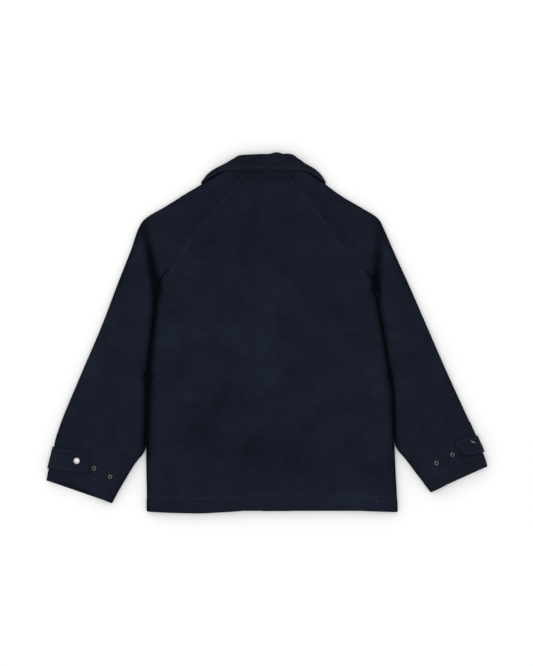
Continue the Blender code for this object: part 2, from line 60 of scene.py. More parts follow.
def along(at, places, values):
    """Values on a smooth curve through a column of a table, which never overshoots it."""
    places, values = np.asarray(places, float), np.asarray(values, float)
    if places[0] > places[-1]:
        places, values = places[::-1], values[::-1]
    at = np.clip(np.asarray(at, float), places[0], places[-1])
    i = np.clip(np.searchsorted(places, at) - 1, 0, len(places) - 2)
    slopes = np.diff(values) / np.diff(places)
    before = slopes[np.maximum(np.arange(len(places)) - 1, 0)]
    after = slopes[np.minimum(np.arange(len(places)), len(slopes) - 1)]
    mean = (before + after) / 2
    least = 2 * np.minimum(abs(before), abs(after))
    tangent = np.where(before * after <= 0, 0.0, np.sign(mean) * np.minimum(abs(mean), least))
    width = places[i + 1] - places[i]
    t = (at - places[i]) / width
    rise = t * t * (3 - 2 * t)
    leave = t * (1 - t) ** 2 * width * tangent[i]
    arrive = t * t * (1 - t) * width * tangent[i + 1]
    return values[i] + (values[i + 1] - values[i]) * rise + leave - arrive


def ease(value, low, high):
    """Zero at low, one at high, and a soft step between them."""
    t = np.clip((value - low) / (high - low), 0.0, 1.0)
    return t * t * (3 - 2 * t)


# %% [markdown]
# ## The camera, the floor and the light
# The garment was photographed from straight above on white, in light so soft that only a narrow
# grey shade lies round it. A long lens high over the floor gives that flat view. A bright even sky
# makes the shade, because a wall of cloth 20 mm high hides part of the sky from the floor beside
# it. A wide box of light overhead brings the floor to white, and one lamp from the upper left gives
# the folds a little form.

# %% The camera, the floor and the light
VIEW_HEIGHT = 1.332
CAMERA_HEIGHT = 4.0
SENSOR = 36.0

camera_data = bpy.data.cameras.new("camera")
camera_data.sensor_width = SENSOR
camera_data.lens = SENSOR * CAMERA_HEIGHT / VIEW_HEIGHT
camera = bpy.data.objects.new("camera", camera_data)
bpy.context.scene.collection.objects.link(camera)
camera.location = (-OUTLINE_CENTRE[0] * MM, -0.0001, CAMERA_HEIGHT + 0.0084)
bpy.context.scene.camera = camera
bpy.context.scene.view_settings.view_transform = "Standard"

world = bpy.data.worlds.new("soft_sky")
world.use_nodes = True
world.node_tree.nodes["Background"].inputs["Color"].default_value = (1.0, 1.0, 1.0, 1)
world.node_tree.nodes["Background"].inputs["Strength"].default_value = 0.72
bpy.context.scene.world = world


def lamp(name, place, target, size, power):
    """A large soft lamp at a place, facing a target."""
    data = bpy.data.lights.new(name, "AREA")
    data.size = size
    data.energy = power
    thing = bpy.data.objects.new(name, data)
    bpy.context.scene.collection.objects.link(thing)
    thing.location = place
    thing.rotation_euler = (Vector(target) - Vector(place)).to_track_quat("-Z", "Y").to_euler()


lamp("upper_left_lamp", (-1.6, 1.7, 1.9), (0, 0, 0), 1.4, 8)
lamp("overhead_box", (0, 0, 4.6), (0, 0, 0), 4.0, 75)

bpy.ops.object.select_all(action="DESELECT")
bpy.ops.mesh.primitive_plane_add(size=12, location=(0, 0, -0.0004))
floor = bpy.context.active_object
floor.name = "floor"
print("lens", round(camera_data.lens, 1), "mm")

# %% [markdown]
# ## The cut
# The photograph's outline, the seams and the folds are kept as short tables. The back's edges
# are the two raglan seams and then the two sides. Each sleeve is a row of sections: where its
# outer edge lies, and how high and how far from the body its inner end lies on the back and on
# the front. These are the sizes that the solids have as well, so that cloth and solid agree, but
# for the sleeves below the underarm, which press a little closer to the body here.

# %% The cut's tables
CLOTH = 2.2
SEAM_GAP = 0.3
UPPER = 16.8
LOWER = CLOTH / 2
SIDE_SEAM = 8.4
FOLD_OVER = 2.5
BODY_ROUND = 13.0
SLEEVE_ROUND = 19.0
GROOVE_EASE = 0.15
HEM_BUILD_UP = 1.6
NECK_CENTRE = (-5.0, 298.0)
COLLAR_LIFT = 4.6

BODY = table(
    "y left right",
    (329.6, -40.2, 37.2),
    (312.4, -53.0, 49.4),
    (277.4, -81.0, 76.2),
    (231.4, -119.0, 114.4),
    (202.4, -145.8, 134.0),
    (168.4, -167.0, 158.8),
    (134.4, -189.8, 185.0),
    (106.4, -211.0, 213.4),
    (82.4, -219.0, 220.2),
    (54.4, -222.6, 223.0),
    (4.4, -227.0, 232.4),
    (-35.6, -233.0, 239.0),
    (-85.6, -237.0, 247.6),
    (-135.6, -239.0, 255.0),
    (-205.6, -241.0, 255.6),
    (-270.0, -240.6, 258.2),
    (-328.0, -239.6, 261.2),
    (-358.0, -239.6, 262.4),
)
FRONT_RAGLAN = table(
    "y left right",
    (271.0, -63.0, 57.0),
    (234.4, -95.0, 89.0),
    (194.4, -127.0, 122.0),
    (154.4, -159.0, 155.0),
    (114.4, -196.0, 196.0),
    (82.4, -219.0, 220.2),
)
SLEEVE_COLUMNS = "outer_x outer_y back_y front_y away"
LEFT_SLEEVE = table(
    SLEEVE_COLUMNS,
    (-90.0, 323.0, 329.2, 271.0, 0.0),
    (-123.0, 299.4, 308.4, 252.4, 0.0),
    (-163.0, 275.4, 272.4, 224.4, 0.0),
    (-203.0, 250.4, 236.4, 196.4, 0.0),
    (-240.5, 228.2, 204.4, 170.4, 0.0),
    (-256.4, 206.4, 174.4, 148.4, 0.0),
    (-271.0, 164.4, 136.4, 122.4, 0.0),
    (-285.2, 128.4, 106.4, 102.4, 0.0),
    (-300.0, 90.4, 82.4, 82.4, 0.0),
    (-331.2, 8.4, 12.4, 12.4, -0.5),
    (-370.6, -83.6, -83.6, -83.6, -0.5),
    (-412.0, -183.6, -195.6, -195.6, -0.5),
    (-421.4, -211.6, -229.6, -229.6, 0.2),
    (-426.6, -235.6, -265.6, -265.6, 24.0),
    (-434.8, -269.6, -317.8, -317.8, 56.2),
    (-440.0, -297.0, -342.0, -342.0, 69.4),
)
RIGHT_SLEEVE = table(
    SLEEVE_COLUMNS,
    (84.0, 323.0, 329.2, 271.0, 0.0),
    (113.0, 299.0, 308.4, 252.4, 0.0),
    (149.0, 272.4, 272.4, 224.4, 0.0),
    (188.2, 249.4, 236.4, 196.4, 0.0),
    (221.8, 228.4, 204.4, 170.4, 0.0),
    (234.8, 206.4, 174.4, 148.4, 0.0),
    (253.2, 164.4, 136.4, 122.4, 0.0),
    (269.4, 128.4, 106.4, 102.4, 0.0),
    (286.6, 90.4, 82.4, 82.4, 0.0),
    (322.2, 8.4, 12.4, 12.4, -0.5),
    (362.4, -83.6, -83.6, -83.6, -0.5),
    (404.6, -175.6, -185.6, -185.6, -0.5),
    (411.0, -187.6, -221.6, -221.6, 0.2),
    (423.0, -215.6, -259.6, -259.6, 25.0),
    (434.0, -243.2, -298.8, -298.8, 52.4),
    (442.0, -269.0, -320.0, -320.0, 67.6),
)
SLEEVES = {-1: LEFT_SLEEVE, 1: RIGHT_SLEEVE}
WORDS = {-1: "left", 1: "right"}

# %% [markdown]
# ## The folds and creases
# Cloth that was laid down by hand keeps soft troughs and ridges. Each is a line with a width, and
# with a height at its start and at its end, so that no two are alike. The largest ones are in the
# solids too. The finer ones lie where the photograph shows them, with their like on the hidden
# front, where they lift the cloth a little off the floor.

# %% The tables of folds
FOLD_COLUMNS = "x1 y1 x2 y2 half_width start end"
FOLDS = table(
    FOLD_COLUMNS,
    (-245, 212, -220, 84, 11, -1.0, -6.5),
    (225, 212, 219, 88, 11, -1.0, -6.5),
    (8, 90, 8, -144, 16, 1.6, 1.8),
    (-205, -4, -63, -8, 22, 1.0, 1.4),
    (139, -116, 225, -116, 24, 1.2, 1.0),
    (-77, -120, -125, -196, 13, -1.4, -1.2),
    (-183, -316, -95, -272, 12, 1.2, 1.2),
    (-283, -116, -275, -216, 10, 1.4, 1.6),
    (-309, -130, -306, -236, 9, -1.6, -1.2),
    (-373, -164, -329, -172, 9, -1.4, -1.0),
    (300, 40, 352, -90, 14, 1.4, 1.0),
    (352, -60, 392, -150, 12, -1.2, -1.4),
)
CREASES = table(
    FOLD_COLUMNS,
    (-214, 70, -150, 44, 6, -0.9, -0.1),
    (-212, 62, -176, 10, 7, -0.7, -0.1),
    (-218, 40, -190, -60, 8, -0.5, -0.2),
    (214, 74, 158, 50, 6, -0.8, -0.1),
    (218, 60, 186, 2, 8, -0.7, -0.1),
    (226, 20, 205, -70, 9, -0.5, -0.1),
    (-322, -64, -310, -88, 4, -1.2, -0.7),
    (-318, -138, -314, -232, 5, -0.7, -0.5),
    (-297, -128, -295, -226, 5, -0.8, -0.3),
    (-352, 20, -372, -40, 7, -0.6, -0.2),
    (-300, 66, -268, 10, 9, -0.7, -0.2),
    (-262, 120, -236, 70, 7, -0.8, -0.6),
    (-332, -285, -336, -312, 4, -0.9, -0.5),
    (-301, -276, -306, -294, 4, -0.8, -0.3),
    (-398, -150, -352, -158, 6, 0.6, 0.3),
    (268, 66, 300, 6, 9, -0.7, -0.2),
    (250, 124, 234, 72, 7, -0.8, -0.6),
    (316, -20, 286, -80, 8, -0.6, -0.2),
    (330, -120, 372, -196, 9, 0.7, 0.4),
    (288, -100, 330, -190, 7, -0.6, -0.4),
    (380, -232, 402, -268, 5, -0.5, -0.3),
    (-120, 96, -96, 20, 12, -0.5, -0.2),
    (110, 120, 74, 30, 14, -0.4, -0.2),
    (60, -180, 130, -240, 15, -0.5, -0.3),
    (-30, -230, -110, -250, 14, -0.4, -0.3),
    (180, -250, 236, -300, 12, -0.5, -0.4),
    (-226, -170, -190, -250, 10, -0.5, -0.3),
    (-60, 200, 30, 214, 20, 0.5, 0.3),
)
UNDER_CREASES = table(
    FOLD_COLUMNS,
    (-214, 66, -140, 40, 7, 1.1, 0.2),
    (-206, 54, -170, -40, 8, 0.8, 0.2),
    (-150, -90, -96, -190, 9, 0.9, 0.5),
    (-220, -180, -150, -236, 8, 0.6, 0.4),
    (-120, 180, -84, 70, 9, 0.8, 0.3),
    (212, 68, 150, 34, 7, 1.0, 0.2),
    (216, 40, 190, -70, 9, 0.7, 0.2),
    (120, -60, 190, -150, 10, 0.9, 0.5),
    (236, -210, 160, -270, 8, 0.7, 0.3),
    (104, 190, 96, 80, 9, 0.8, 0.4),
    (-262, 110, -300, -10, 8, 0.8, 0.3),
    (-330, -40, -372, -150, 8, 0.9, 0.5),
    (-280, -150, -300, -236, 7, 0.7, 0.6),
    (-398, -190, -350, -206, 6, 0.9, 0.4),
    (256, 112, 286, 0, 8, 0.8, 0.3),
    (316, -30, 366, -140, 8, 0.9, 0.6),
    (280, -110, 318, -200, 7, 0.7, 0.5),
    (396, -170, 352, -196, 6, 0.9, 0.4),
)
# Painted shade and light, as lines of a half width with the shade at each end: darker in the valleys beside
# the body and below the collar, lighter along some folds, and a few broad darker and lighter patches
PAINTED_SHADE_LINES = table(
    FOLD_COLUMNS,
    (-243, 214, -219, 84, 9, -0.35, -0.9),
    (226, 214, 219, 86, 9, -0.15, -0.45),
    (-219, 84, -236, -90, 9, -0.7, -0.95),
    (-236, -90, -240, -240, 11, -1.0, -0.8),
    (221, 84, 247, -90, 9, -0.4, -0.5),
    (247, -90, 256, -225, 9, -0.6, -0.5),
    (8, 90, 8, -144, 30, 0.08, 0.1),
    (-205, -4, -63, -8, 34, 0.02, 0.08),
    (139, -116, 225, -116, 36, 0.10, 0.08),
    (-77, -120, -125, -196, 24, -0.10, -0.08),
    (-110, -216, -60, -240, 44, -0.16, -0.12),
    (-20, -236, 60, -250, 40, -0.22, -0.2),
    (-110, 190, 110, 190, 60, -0.10, -0.08),
    (-60, 308, 50, 308, 13, -0.3, -0.3),
    (60, -330, 220, -336, 24, 0.14, 0.2),
    (-300, 60, -380, -140, 26, 0.12, 0.05),
)
# Soft unevenness: wave length, turn, shift and height
WAVES = ((61, 0.4, 1.1, 0.30), (43, 1.3, 4.2, 0.22), (29, 2.2, 0.5, 0.14), (87, 2.7, 2.6, 0.34))


def folded(x, y, folds):
    """What the folds of a table add to the height of the cloth at each place."""
    total = np.zeros(np.broadcast(x, y).shape)
    for x1, y1, x2, y2, half_width, start, end in zip(*folds.values()):
        run = (x2 - x1, y2 - y1)
        share = ((x - x1) * run[0] + (y - y1) * run[1]) / (run[0] ** 2 + run[1] ** 2)
        share = np.clip(share, 0, 1)
        off = np.hypot(x - x1 - share * run[0], y - y1 - share * run[1])
        total += (start + (end - start) * share) * np.exp(-((off / half_width) ** 2))
    return total


def unevenness(x, y):
    """A soft low swell all over the cloth."""
    swell = 0
    for length, turn, shift, height in WAVES:
        across = x * math.cos(turn) + y * math.sin(turn)
        beside = y * math.cos(turn) - x * math.sin(turn)
        ridge = np.sin(across / length * math.tau + shift)
        swell = swell + height * ridge * np.cos(beside / length * 2.9)
    return swell


print(len(FOLDS["x1"]), "folds,", len(CREASES["x1"]), "creases on the back")

# %% [markdown]
# ## How the cloth lies
# Seen across, a laid jacket is two layers. The upper one lies high in the middle and turns down
# at its sides in a quarter round, to a seam halfway up, where the lower one turns up to meet it.
# Down the raglan seams the pieces meet end to end instead. One function gives the rows of points
# of any of these sheets, so that back, fronts and sleeves share one way of lying.

# %% Heights and rows
def body_edge(side, y, edges):
    """The edge of the back or of the fronts on one side, at each height."""
    column = WORDS[side]
    value = along(y, edges["y"], edges[column])
    if edges is FRONT_RAGLAN:
        low = np.asarray(y) < FRONT_RAGLAN["y"][-1]
        value = np.where(low, along(y, BODY["y"], BODY[column]), value)
    return value


def centre_line(y):
    """Where the middle of the body lies."""
    return (body_edge(-1, y, BODY) + body_edge(1, y, BODY)) / 2


def side_curl(y):
    """How far cloth beside the body's edge turns down: none at the neck, all at the side."""
    return 1 - ease(y, 84, 140)


def seam_inset(side, y, edges):
    """How far the middle of the cloth stays from a seam line along a row."""
    curl = side_curl(y)
    slant = (body_edge(side, y + 2, edges) - body_edge(side, y - 2, edges)) / 4
    square = SEAM_GAP / 2 + CLOTH / 2 * curl / np.hypot(curl, 1 - curl)
    return (square + GROOVE_EASE * np.sin(math.pi * curl)) * np.hypot(1, slant)


def upper_height(x, y):
    """The middle of the cloth of the back, thicker over the closure at the hem."""
    over_closure = np.exp(-(((x - centre_line(y)) / 60) ** 2))
    high = UPPER + folded(x, y, FOLDS) + folded(x, y, CREASES) + unevenness(x, y)
    return high + HEM_BUILD_UP * over_closure * ease(-y, 270, 340)


def lower_height(x, y):
    """The middle of the cloth of the fronts, which the collar lifts near the neck."""
    reach = np.hypot(x - NECK_CENTRE[0], y - NECK_CENTRE[1])
    return LOWER + COLLAR_LIFT * (1 - ease(reach, 132, 175)) + folded(x, y, UNDER_CREASES)


def right_front_height(x, y):
    """The right front climbs onto the edge of the left one, and over its turned-up hem."""
    climb = CLOTH + SEAM_GAP + FOLD_OVER * ease(-y, 290, 322)
    return lower_height(x, y) + climb * (1 - ease(x - centre_line(y), 24, 50))


def laid_rows(start, end, curls, rounds, height, direction, middle, turn=9, bow=0.0):
    """Rows of points across a sheet from start to end, its edges turned to the side seam.

    direction is 1 for an upper sheet, which turns down, and -1 for a lower one, which turns up.
    Returns the points, and how far each lies from the two ends of its row.
    """
    start, end = np.asarray(start, float), np.asarray(end, float)
    width = np.linalg.norm(end - start, axis=1)[:, None]
    quarter = np.linspace(0, math.pi / 2, turn)
    near = rounds[0] * (1 - np.cos(quarter)) + 0 * width
    far = width - rounds[1] * (1 - np.cos(quarter[::-1]))
    flat = np.linspace(0, 1, middle + 2)[1:-1]
    distance = np.hstack([near, rounds[0] + (width - sum(rounds)) * flat, far])
    risen = np.concatenate([np.sin(quarter), np.ones(middle), np.sin(quarter[::-1])])
    curl = np.hstack([
        np.repeat(np.reshape(curls[0] + 0 * width[:, 0], (-1, 1)), turn + middle // 2, 1),
        np.repeat(np.reshape(curls[1] + 0 * width[:, 0], (-1, 1)), turn + middle - middle // 2, 1),
    ])  # fmt: skip
    share = distance / width
    x = start[:, :1] + (end - start)[:, :1] * share
    y = start[:, 1:] + (end - start)[:, 1:] * share
    y = y - np.reshape(bow, (-1, 1)) * 4 * share * (1 - share)
    crest = height(x, y)
    low = crest + curl * (SIDE_SEAM + direction * SEAM_GAP / 2 - crest)
    z = low + (crest - low) * risen
    return np.stack([x, y, z], axis=2), distance, width - distance


def row_normals(rows, direction):
    """The direction out of the cloth at each point."""
    normals = np.cross(np.gradient(rows, axis=1), np.gradient(rows, axis=0))
    normals /= np.maximum(np.linalg.norm(normals, axis=2, keepdims=True), 1e-9)
    flip = np.sign(normals[:, rows.shape[1] // 2, 2].mean())
    return normals * (direction if flip > 0 else -direction)


def spaced(stops, step):
    """Even places between stops, none further apart than the step."""
    places = [np.array(stops[:1], float)]
    for a, b in zip(stops, stops[1:]):
        places.append(np.linspace(a, b, max(2, math.ceil(abs(b - a) / step) + 1))[1:])
    return np.concatenate(places)


# %% [markdown]
# ## Seams, topstitching and hems
# A seam is a narrow valley between two pieces, and topstitching draws the cloth in along a line
# beside it, in small puckers. Both are pressed into the sheet along its normals. At the hem and
# the cuffs the sheet goes round a tight bend and back up inside. Then a grid with one vertex for
# each point takes the shape, with a UV map in metres of cloth, and Solidify gives it its wall.

# %% Seams, hems and the cloth itself
TOPSTITCH = 7.0
HEM_DEPTH = 28.0
HEM_BEND = 7


def seam_valley(distance, deep=0.9, wide=2.0):
    """The valley beside a seam."""
    return -deep * np.exp(-((distance / wide) ** 2))


def stitched(distance, place, run, deep=0.55):
    """The line that topstitching draws in, with puckers of uneven length beside it."""
    pucker = 0.5 + 0.5 * np.sin(run / 2.3 + 1.7 * np.sin(run / 17.0))
    line = -deep * np.exp(-(((distance - place) / 1.3) ** 2))
    ripple = -0.22 * pucker * np.exp(-(((distance - place) / 5.5) ** 2))
    return line + ripple


def run_down(rows):
    """How far each row lies from the first, down the middle of the sheet."""
    middle = rows[:, rows.shape[1] // 2]
    steps = np.linalg.norm(np.diff(middle, axis=0), axis=1)
    return np.concatenate([[0.0], np.cumsum(steps)])[:, None]


def turned_up(rows, direction, depth=HEM_DEPTH):
    """The rows with the hem turned up inside them."""
    normals = row_normals(rows, direction)
    run = rows[-1] - rows[-2]
    run /= np.linalg.norm(run, axis=1, keepdims=True)
    outward = normals[-1]
    centre = rows[-1] - run * (CLOTH + FOLD_OVER) / 2 - outward * FOLD_OVER / 2
    angles = np.linspace(0, math.pi, HEM_BEND)
    bend = [centre + (run * math.sin(a) + outward * math.cos(a)) * FOLD_OVER / 2 for a in angles]
    left = run_down(rows)[-1, 0] - run_down(rows)[:, 0]
    outer = rows[left > (CLOTH + FOLD_OVER) / 2 + 0.6]
    inside = (left > (CLOTH + FOLD_OVER) / 2 + 0.6) & (left < depth)
    inner = (rows - normals * FOLD_OVER)[inside][::-1]
    return np.concatenate([outer, bend, inner])


def painted_shade_and_light(rows):
    """Painted shade and light: darker in troughs, seams and turned-down edges, lighter on ridges, and the
    painted shade lines.
    """
    x, y, z = rows[:, :, 0], rows[:, :, 1], rows[:, :, 2]
    # Painted shade: the deeper the cloth lies below its crest, the darker its colour is painted
    sunk = np.clip((UPPER - 0.4 - z) / 7.0, 0, 1)
    total = -0.9 * sunk + 0.05 * (folded(x, y, FOLDS) * (folded(x, y, FOLDS) > 0))
    return total + folded(x, y, PAINTED_SHADE_LINES)


def cloth_sheet(name, rows, material, thickness=CLOTH, round_rim=0.0, upper=False):
    """A sheet of cloth through rows of points, with its UV map and its wall.

    An upper sheet also keeps its painted shade and light at each point, which the wool reads."""
    count_y, count_x = rows.shape[:2]
    bpy.ops.object.select_all(action="DESELECT")
    bpy.ops.mesh.primitive_grid_add(x_subdivisions=count_x - 1, y_subdivisions=count_y - 1)
    sheet = bpy.context.active_object
    sheet.name = name
    mesh = sheet.data
    across = np.linalg.norm(np.diff(rows, axis=1), axis=2)
    u = np.hstack([np.zeros((count_y, 1)), np.cumsum(across, axis=1)])
    u -= u[:, count_x // 2][:, None]
    down = np.linalg.norm(np.diff(rows[:, count_x // 2], axis=0), axis=1)
    v = -np.concatenate([[0.0], np.cumsum(down)])[:, None] + 0 * u
    points = (rows - [OUTLINE_CENTRE[0], OUTLINE_CENTRE[1], 0.0]) * MM
    mesh.vertices.foreach_set("co", points.reshape(-1))
    uv = (np.stack([u, v], axis=2).reshape(-1, 2)) * MM
    corners = np.zeros(len(mesh.loops), int)
    mesh.loops.foreach_get("vertex_index", corners)
    layer = mesh.uv_layers.active or mesh.uv_layers.new(name="cloth")
    layer.name = "cloth"
    layer.uv.foreach_set("vector", uv[corners].reshape(-1))
    # Painted shade and light, kept on the points for the wool to read
    painted_shade = mesh.attributes.new(name="painted_shade", type="FLOAT", domain="POINT")
    painted_shade.data.foreach_set("value", (painted_shade_and_light(rows) if upper else 0 * v).reshape(-1))
    mesh.update()
    mesh.materials.append(material)
    wall = sheet.modifiers.new("wall", "SOLIDIFY")
    wall.thickness = thickness * MM
    wall.offset = 0
    bpy.ops.object.modifier_apply(modifier="wall")
    if round_rim:
        rim = sheet.modifiers.new("rim", "BEVEL")
        rim.width = round_rim * MM
        rim.segments = 3
        rim.limit_method = "ANGLE"
        rim.angle_limit = math.radians(50)
        bpy.ops.object.modifier_apply(modifier="rim")
    bpy.ops.object.shade_smooth_by_angle(angle=math.radians(50))
    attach(sheet, "root")
    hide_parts(name)
    print(name, len(sheet.data.polygons), "faces")


# %% [markdown]
# ## The wool
# Melton is woven in twill and then fulled and brushed, until short fibres cover the weave. What
# shows is a dark navy with softly lighter and darker clouds, faint upright streaks of the warp
# under the nap, and a fine fuzz. One node group gives the nap's colour, roughness and height, and
# every wool has it with its own numbers. The sheen is uniform, so it sits on the shader's own
# sockets, and the pattern reads the UV map, which follows each piece of cloth.

# %% The nap's node group
def link(tree, *pairs):
    """Joins sockets in pairs."""
    for source, target in pairs:
        tree.links.new(source, target)


def noise_node(tree, vector, scale, detail, roughness=0.55):
    """A noise pattern of so many grains a metre."""
    node = tree.nodes.new("ShaderNodeTexNoise")
    node.inputs["Scale"].default_value = scale
    node.inputs["Detail"].default_value = detail
    node.inputs["Roughness"].default_value = roughness
    tree.links.new(vector, node.inputs["Vector"])
    return node.outputs["Fac"]


def math_node(tree, operation, a, b):
    """Arithmetic on two sockets or numbers."""
    node = tree.nodes.new("ShaderNodeMath")
    node.operation = operation
    for socket, value in zip(node.inputs, (a, b)):
        if hasattr(value, "is_output"):
            tree.links.new(value, socket)
        else:
            socket.default_value = value
    return node.outputs["Value"]


def two_tone(tree, share, dark, light):
    """A colour between a dark and a light tone."""
    blend = tree.nodes.new("ShaderNodeMix")
    blend.data_type = "RGBA"
    for socket, tone in zip((blend.inputs[6], blend.inputs[7]), (dark, light)):
        if hasattr(tone, "is_output"):
            tree.links.new(tone, socket)
        else:
            socket.default_value = (*tone, 1)
    tree.links.new(share, blend.inputs[0])
    return blend.outputs[2]


def new_material(name):
    """A material with its node tree and its shader."""
    made = bpy.data.materials.new(name)
    made.use_nodes = True
    return made, made.node_tree, made.node_tree.nodes["Principled BSDF"]


def make_nap_group():
    """Brushed wool: its colour, roughness and height from a place on the cloth in metres."""
    group = bpy.data.node_groups.new("brushed_nap", "ShaderNodeTree")
    face = group.interface
    face.new_socket("Place", in_out="INPUT", socket_type="NodeSocketVector")
    face.new_socket("Deep", in_out="INPUT", socket_type="NodeSocketColor")
    face.new_socket("Light", in_out="INPUT", socket_type="NodeSocketColor")
    face.new_socket("Colour", in_out="OUTPUT", socket_type="NodeSocketColor")
    face.new_socket("Roughness", in_out="OUTPUT", socket_type="NodeSocketFloat")
    face.new_socket("Height", in_out="OUTPUT", socket_type="NodeSocketFloat")
    given = group.nodes.new("NodeGroupInput")
    result = group.nodes.new("NodeGroupOutput")
    place = given.outputs["Place"]
    stretch = group.nodes.new("ShaderNodeMapping")
    stretch.inputs["Scale"].default_value = (1.0, 0.28, 1.0)
    group.links.new(place, stretch.inputs["Vector"])
    clouds = noise_node(group, place, 16, 2)
    patches = noise_node(group, place, 70, 3)
    warp = noise_node(group, stretch.outputs["Vector"], 420, 3, 0.7)
    fuzz = noise_node(group, place, 1900, 2, 0.7)
    twill = group.nodes.new("ShaderNodeTexWave")
    twill.bands_direction = "DIAGONAL"
    twill.inputs["Scale"].default_value = 210
    twill.inputs["Distortion"].default_value = 2.2
    twill.inputs["Detail"].default_value = 1.0
    twill.inputs["Detail Scale"].default_value = 3.0
    group.links.new(place, twill.inputs["Vector"])
    mixed = math_node(group, "MULTIPLY", clouds, 0.9)
    mixed = math_node(group, "ADD", mixed, math_node(group, "MULTIPLY", patches, 0.55))
    mixed = math_node(group, "ADD", mixed, math_node(group, "MULTIPLY", warp, 0.75))
    mixed = math_node(group, "ADD", mixed, math_node(group, "MULTIPLY", fuzz, 0.35))
    shade = group.nodes.new("ShaderNodeMapRange")
    shade.inputs["From Min"].default_value = 0.95
    shade.inputs["From Max"].default_value = 1.65
    group.links.new(mixed, shade.inputs["Value"])
    tone = two_tone(group, shade.outputs["Result"], given.outputs["Deep"], given.outputs["Light"])
    group.links.new(tone, result.inputs["Colour"])
    rough = math_node(group, "ADD", math_node(group, "MULTIPLY", fuzz, 0.12), 0.84)
    group.links.new(rough, result.inputs["Roughness"])
    height = math_node(group, "MULTIPLY", fuzz, 0.6)
    height = math_node(group, "ADD", height, math_node(group, "MULTIPLY", warp, 0.5))
    height = math_node(group, "ADD", height, math_node(group, "MULTIPLY", twill.outputs["Fac"], 0.25))
    group.links.new(height, result.inputs["Height"])
    return group


NAP = make_nap_group()
# How strongly the painted shade and light scale the wool's colour, and the least scale allowed
PAINTED_SHADE_DEPTH = 0.85
LEAST_SHADE = 0.2


def wool(name, deep, light, sheen):
    """A brushed wool with its two tones and its sheen."""
    made, tree, shader = new_material(name)
    uv = tree.nodes.new("ShaderNodeUVMap")
    uv.uv_map = "cloth"
    nap = tree.nodes.new("ShaderNodeGroup")
    nap.node_tree = NAP
    nap.inputs["Deep"].default_value = (*deep, 1)
    nap.inputs["Light"].default_value = (*light, 1)
    # Painted shade and light: the point attribute scales the nap's colour, darker in troughs and lighter on
    # ridges
    painted_shade = tree.nodes.new("ShaderNodeAttribute")
    painted_shade.attribute_name = "painted_shade"
    shade = math_node(tree, "MULTIPLY", painted_shade.outputs["Fac"], PAINTED_SHADE_DEPTH)
    shade = math_node(tree, "ADD", shade, 1.0)
    shade = math_node(tree, "MAXIMUM", shade, LEAST_SHADE)
    shaded = tree.nodes.new("ShaderNodeVectorMath")
    shaded.operation = "SCALE"
    link(tree, (nap.outputs["Colour"], shaded.inputs[0]), (shade, shaded.inputs["Scale"]))
    bump = tree.nodes.new("ShaderNodeBump")
    bump.inputs["Strength"].default_value = 0.5
    bump.inputs["Distance"].default_value = 0.0006
    link(
        tree,
        (uv.outputs["UV"], nap.inputs["Place"]),
        (shaded.outputs["Vector"], shader.inputs["Base Color"]),
        (nap.outputs["Roughness"], shader.inputs["Roughness"]),
        (nap.outputs["Height"], bump.inputs["Height"]),
        (bump.outputs["Normal"], shader.inputs["Normal"]),
    )
    shader.inputs["Sheen Weight"].default_value = sheen
    shader.inputs["Sheen Roughness"].default_value = 0.45
    shader.inputs["Sheen Tint"].default_value = (0.55, 0.65, 0.9, 1)
    shader.inputs["Specular IOR Level"].default_value = 0.03
    return made


WOOL = wool("navy_melton", (0.0056, 0.0080, 0.0148), (0.0112, 0.0152, 0.0270), 0.02)
COLLAR_WOOL = wool("navy_melton_collar", (0.0052, 0.0068, 0.0120), (0.0104, 0.0132, 0.0222), 0.02)

# %% [markdown]
# ## The back
# The back is one panel: its neck edge, two raglan edges, two sides and the hem. It could be drawn
# flat and draped, but its shape on the floor is known, so it is lofted through its rows and keeps
# the outline exactly. Its rows lie closer along the hem, where they bend round.

# %% The back
# How far the hem's edge hangs below a straight line
HEM_EDGE = table(
    "x drop",
    (-240, 0.4),
    (-215, 1.8),
    (-190, 2.8),
    (-137, 4.0),
    (-80, 1.2),
    (-20, -2.2),
    (168, -2.0),
    (200, -0.6),
    (262, 1.6),
)
back_y = spaced([329.6, -325, -352.5, -358.0], 3.7)
curl = side_curl(back_y)
back, from_left, from_right = laid_rows(
    np.stack([body_edge(-1, back_y, BODY) + seam_inset(-1, back_y, BODY), back_y], 1),
    np.stack([body_edge(1, back_y, BODY) - seam_inset(1, back_y, BODY), back_y], 1),
    (curl, curl), (BODY_ROUND, BODY_ROUND), upper_height, 1, 112,
)  # fmt: skip
back[:, :, 1] -= along(back[:, :, 0], HEM_EDGE["x"], HEM_EDGE["drop"]) * ease(-back[:, :, 1], 250, 350)
open_edge = (1 - curl)[:, None]
run = run_down(back)
press = open_edge * (seam_valley(from_left) + seam_valley(from_right))
press += open_edge * (stitched(from_left, TOPSTITCH, run) + stitched(from_right, TOPSTITCH, run))
from_hem = run[-1] - run
press += stitched(from_hem, HEM_DEPTH, back[:, :, 0] + 300) + 0.5 * (1 - ease(from_hem, 24, 30))
back_normals = row_normals(back, 1)
back = back + back_normals * press[:, :, None]
cloth_sheet("back_panel", turned_up(back, 1), WOOL, upper=True)

# %% [markdown]
# ## The sleeves
# Each sleeve is cut in a back and a front half. A row of a sleeve runs from the body to the outer
# edge, and turns down at both, except along the raglan seam. The cuff's upper layer is drawn back
# a little, so that it stands open, and its hem is turned up inside and stitched.

# %% The sleeves
SLEEVE_PLUMP = 2.6
CUFF_DEPTH = 26.0
CUFF_ARCH = {-1: 10.5, 1: 4.0}


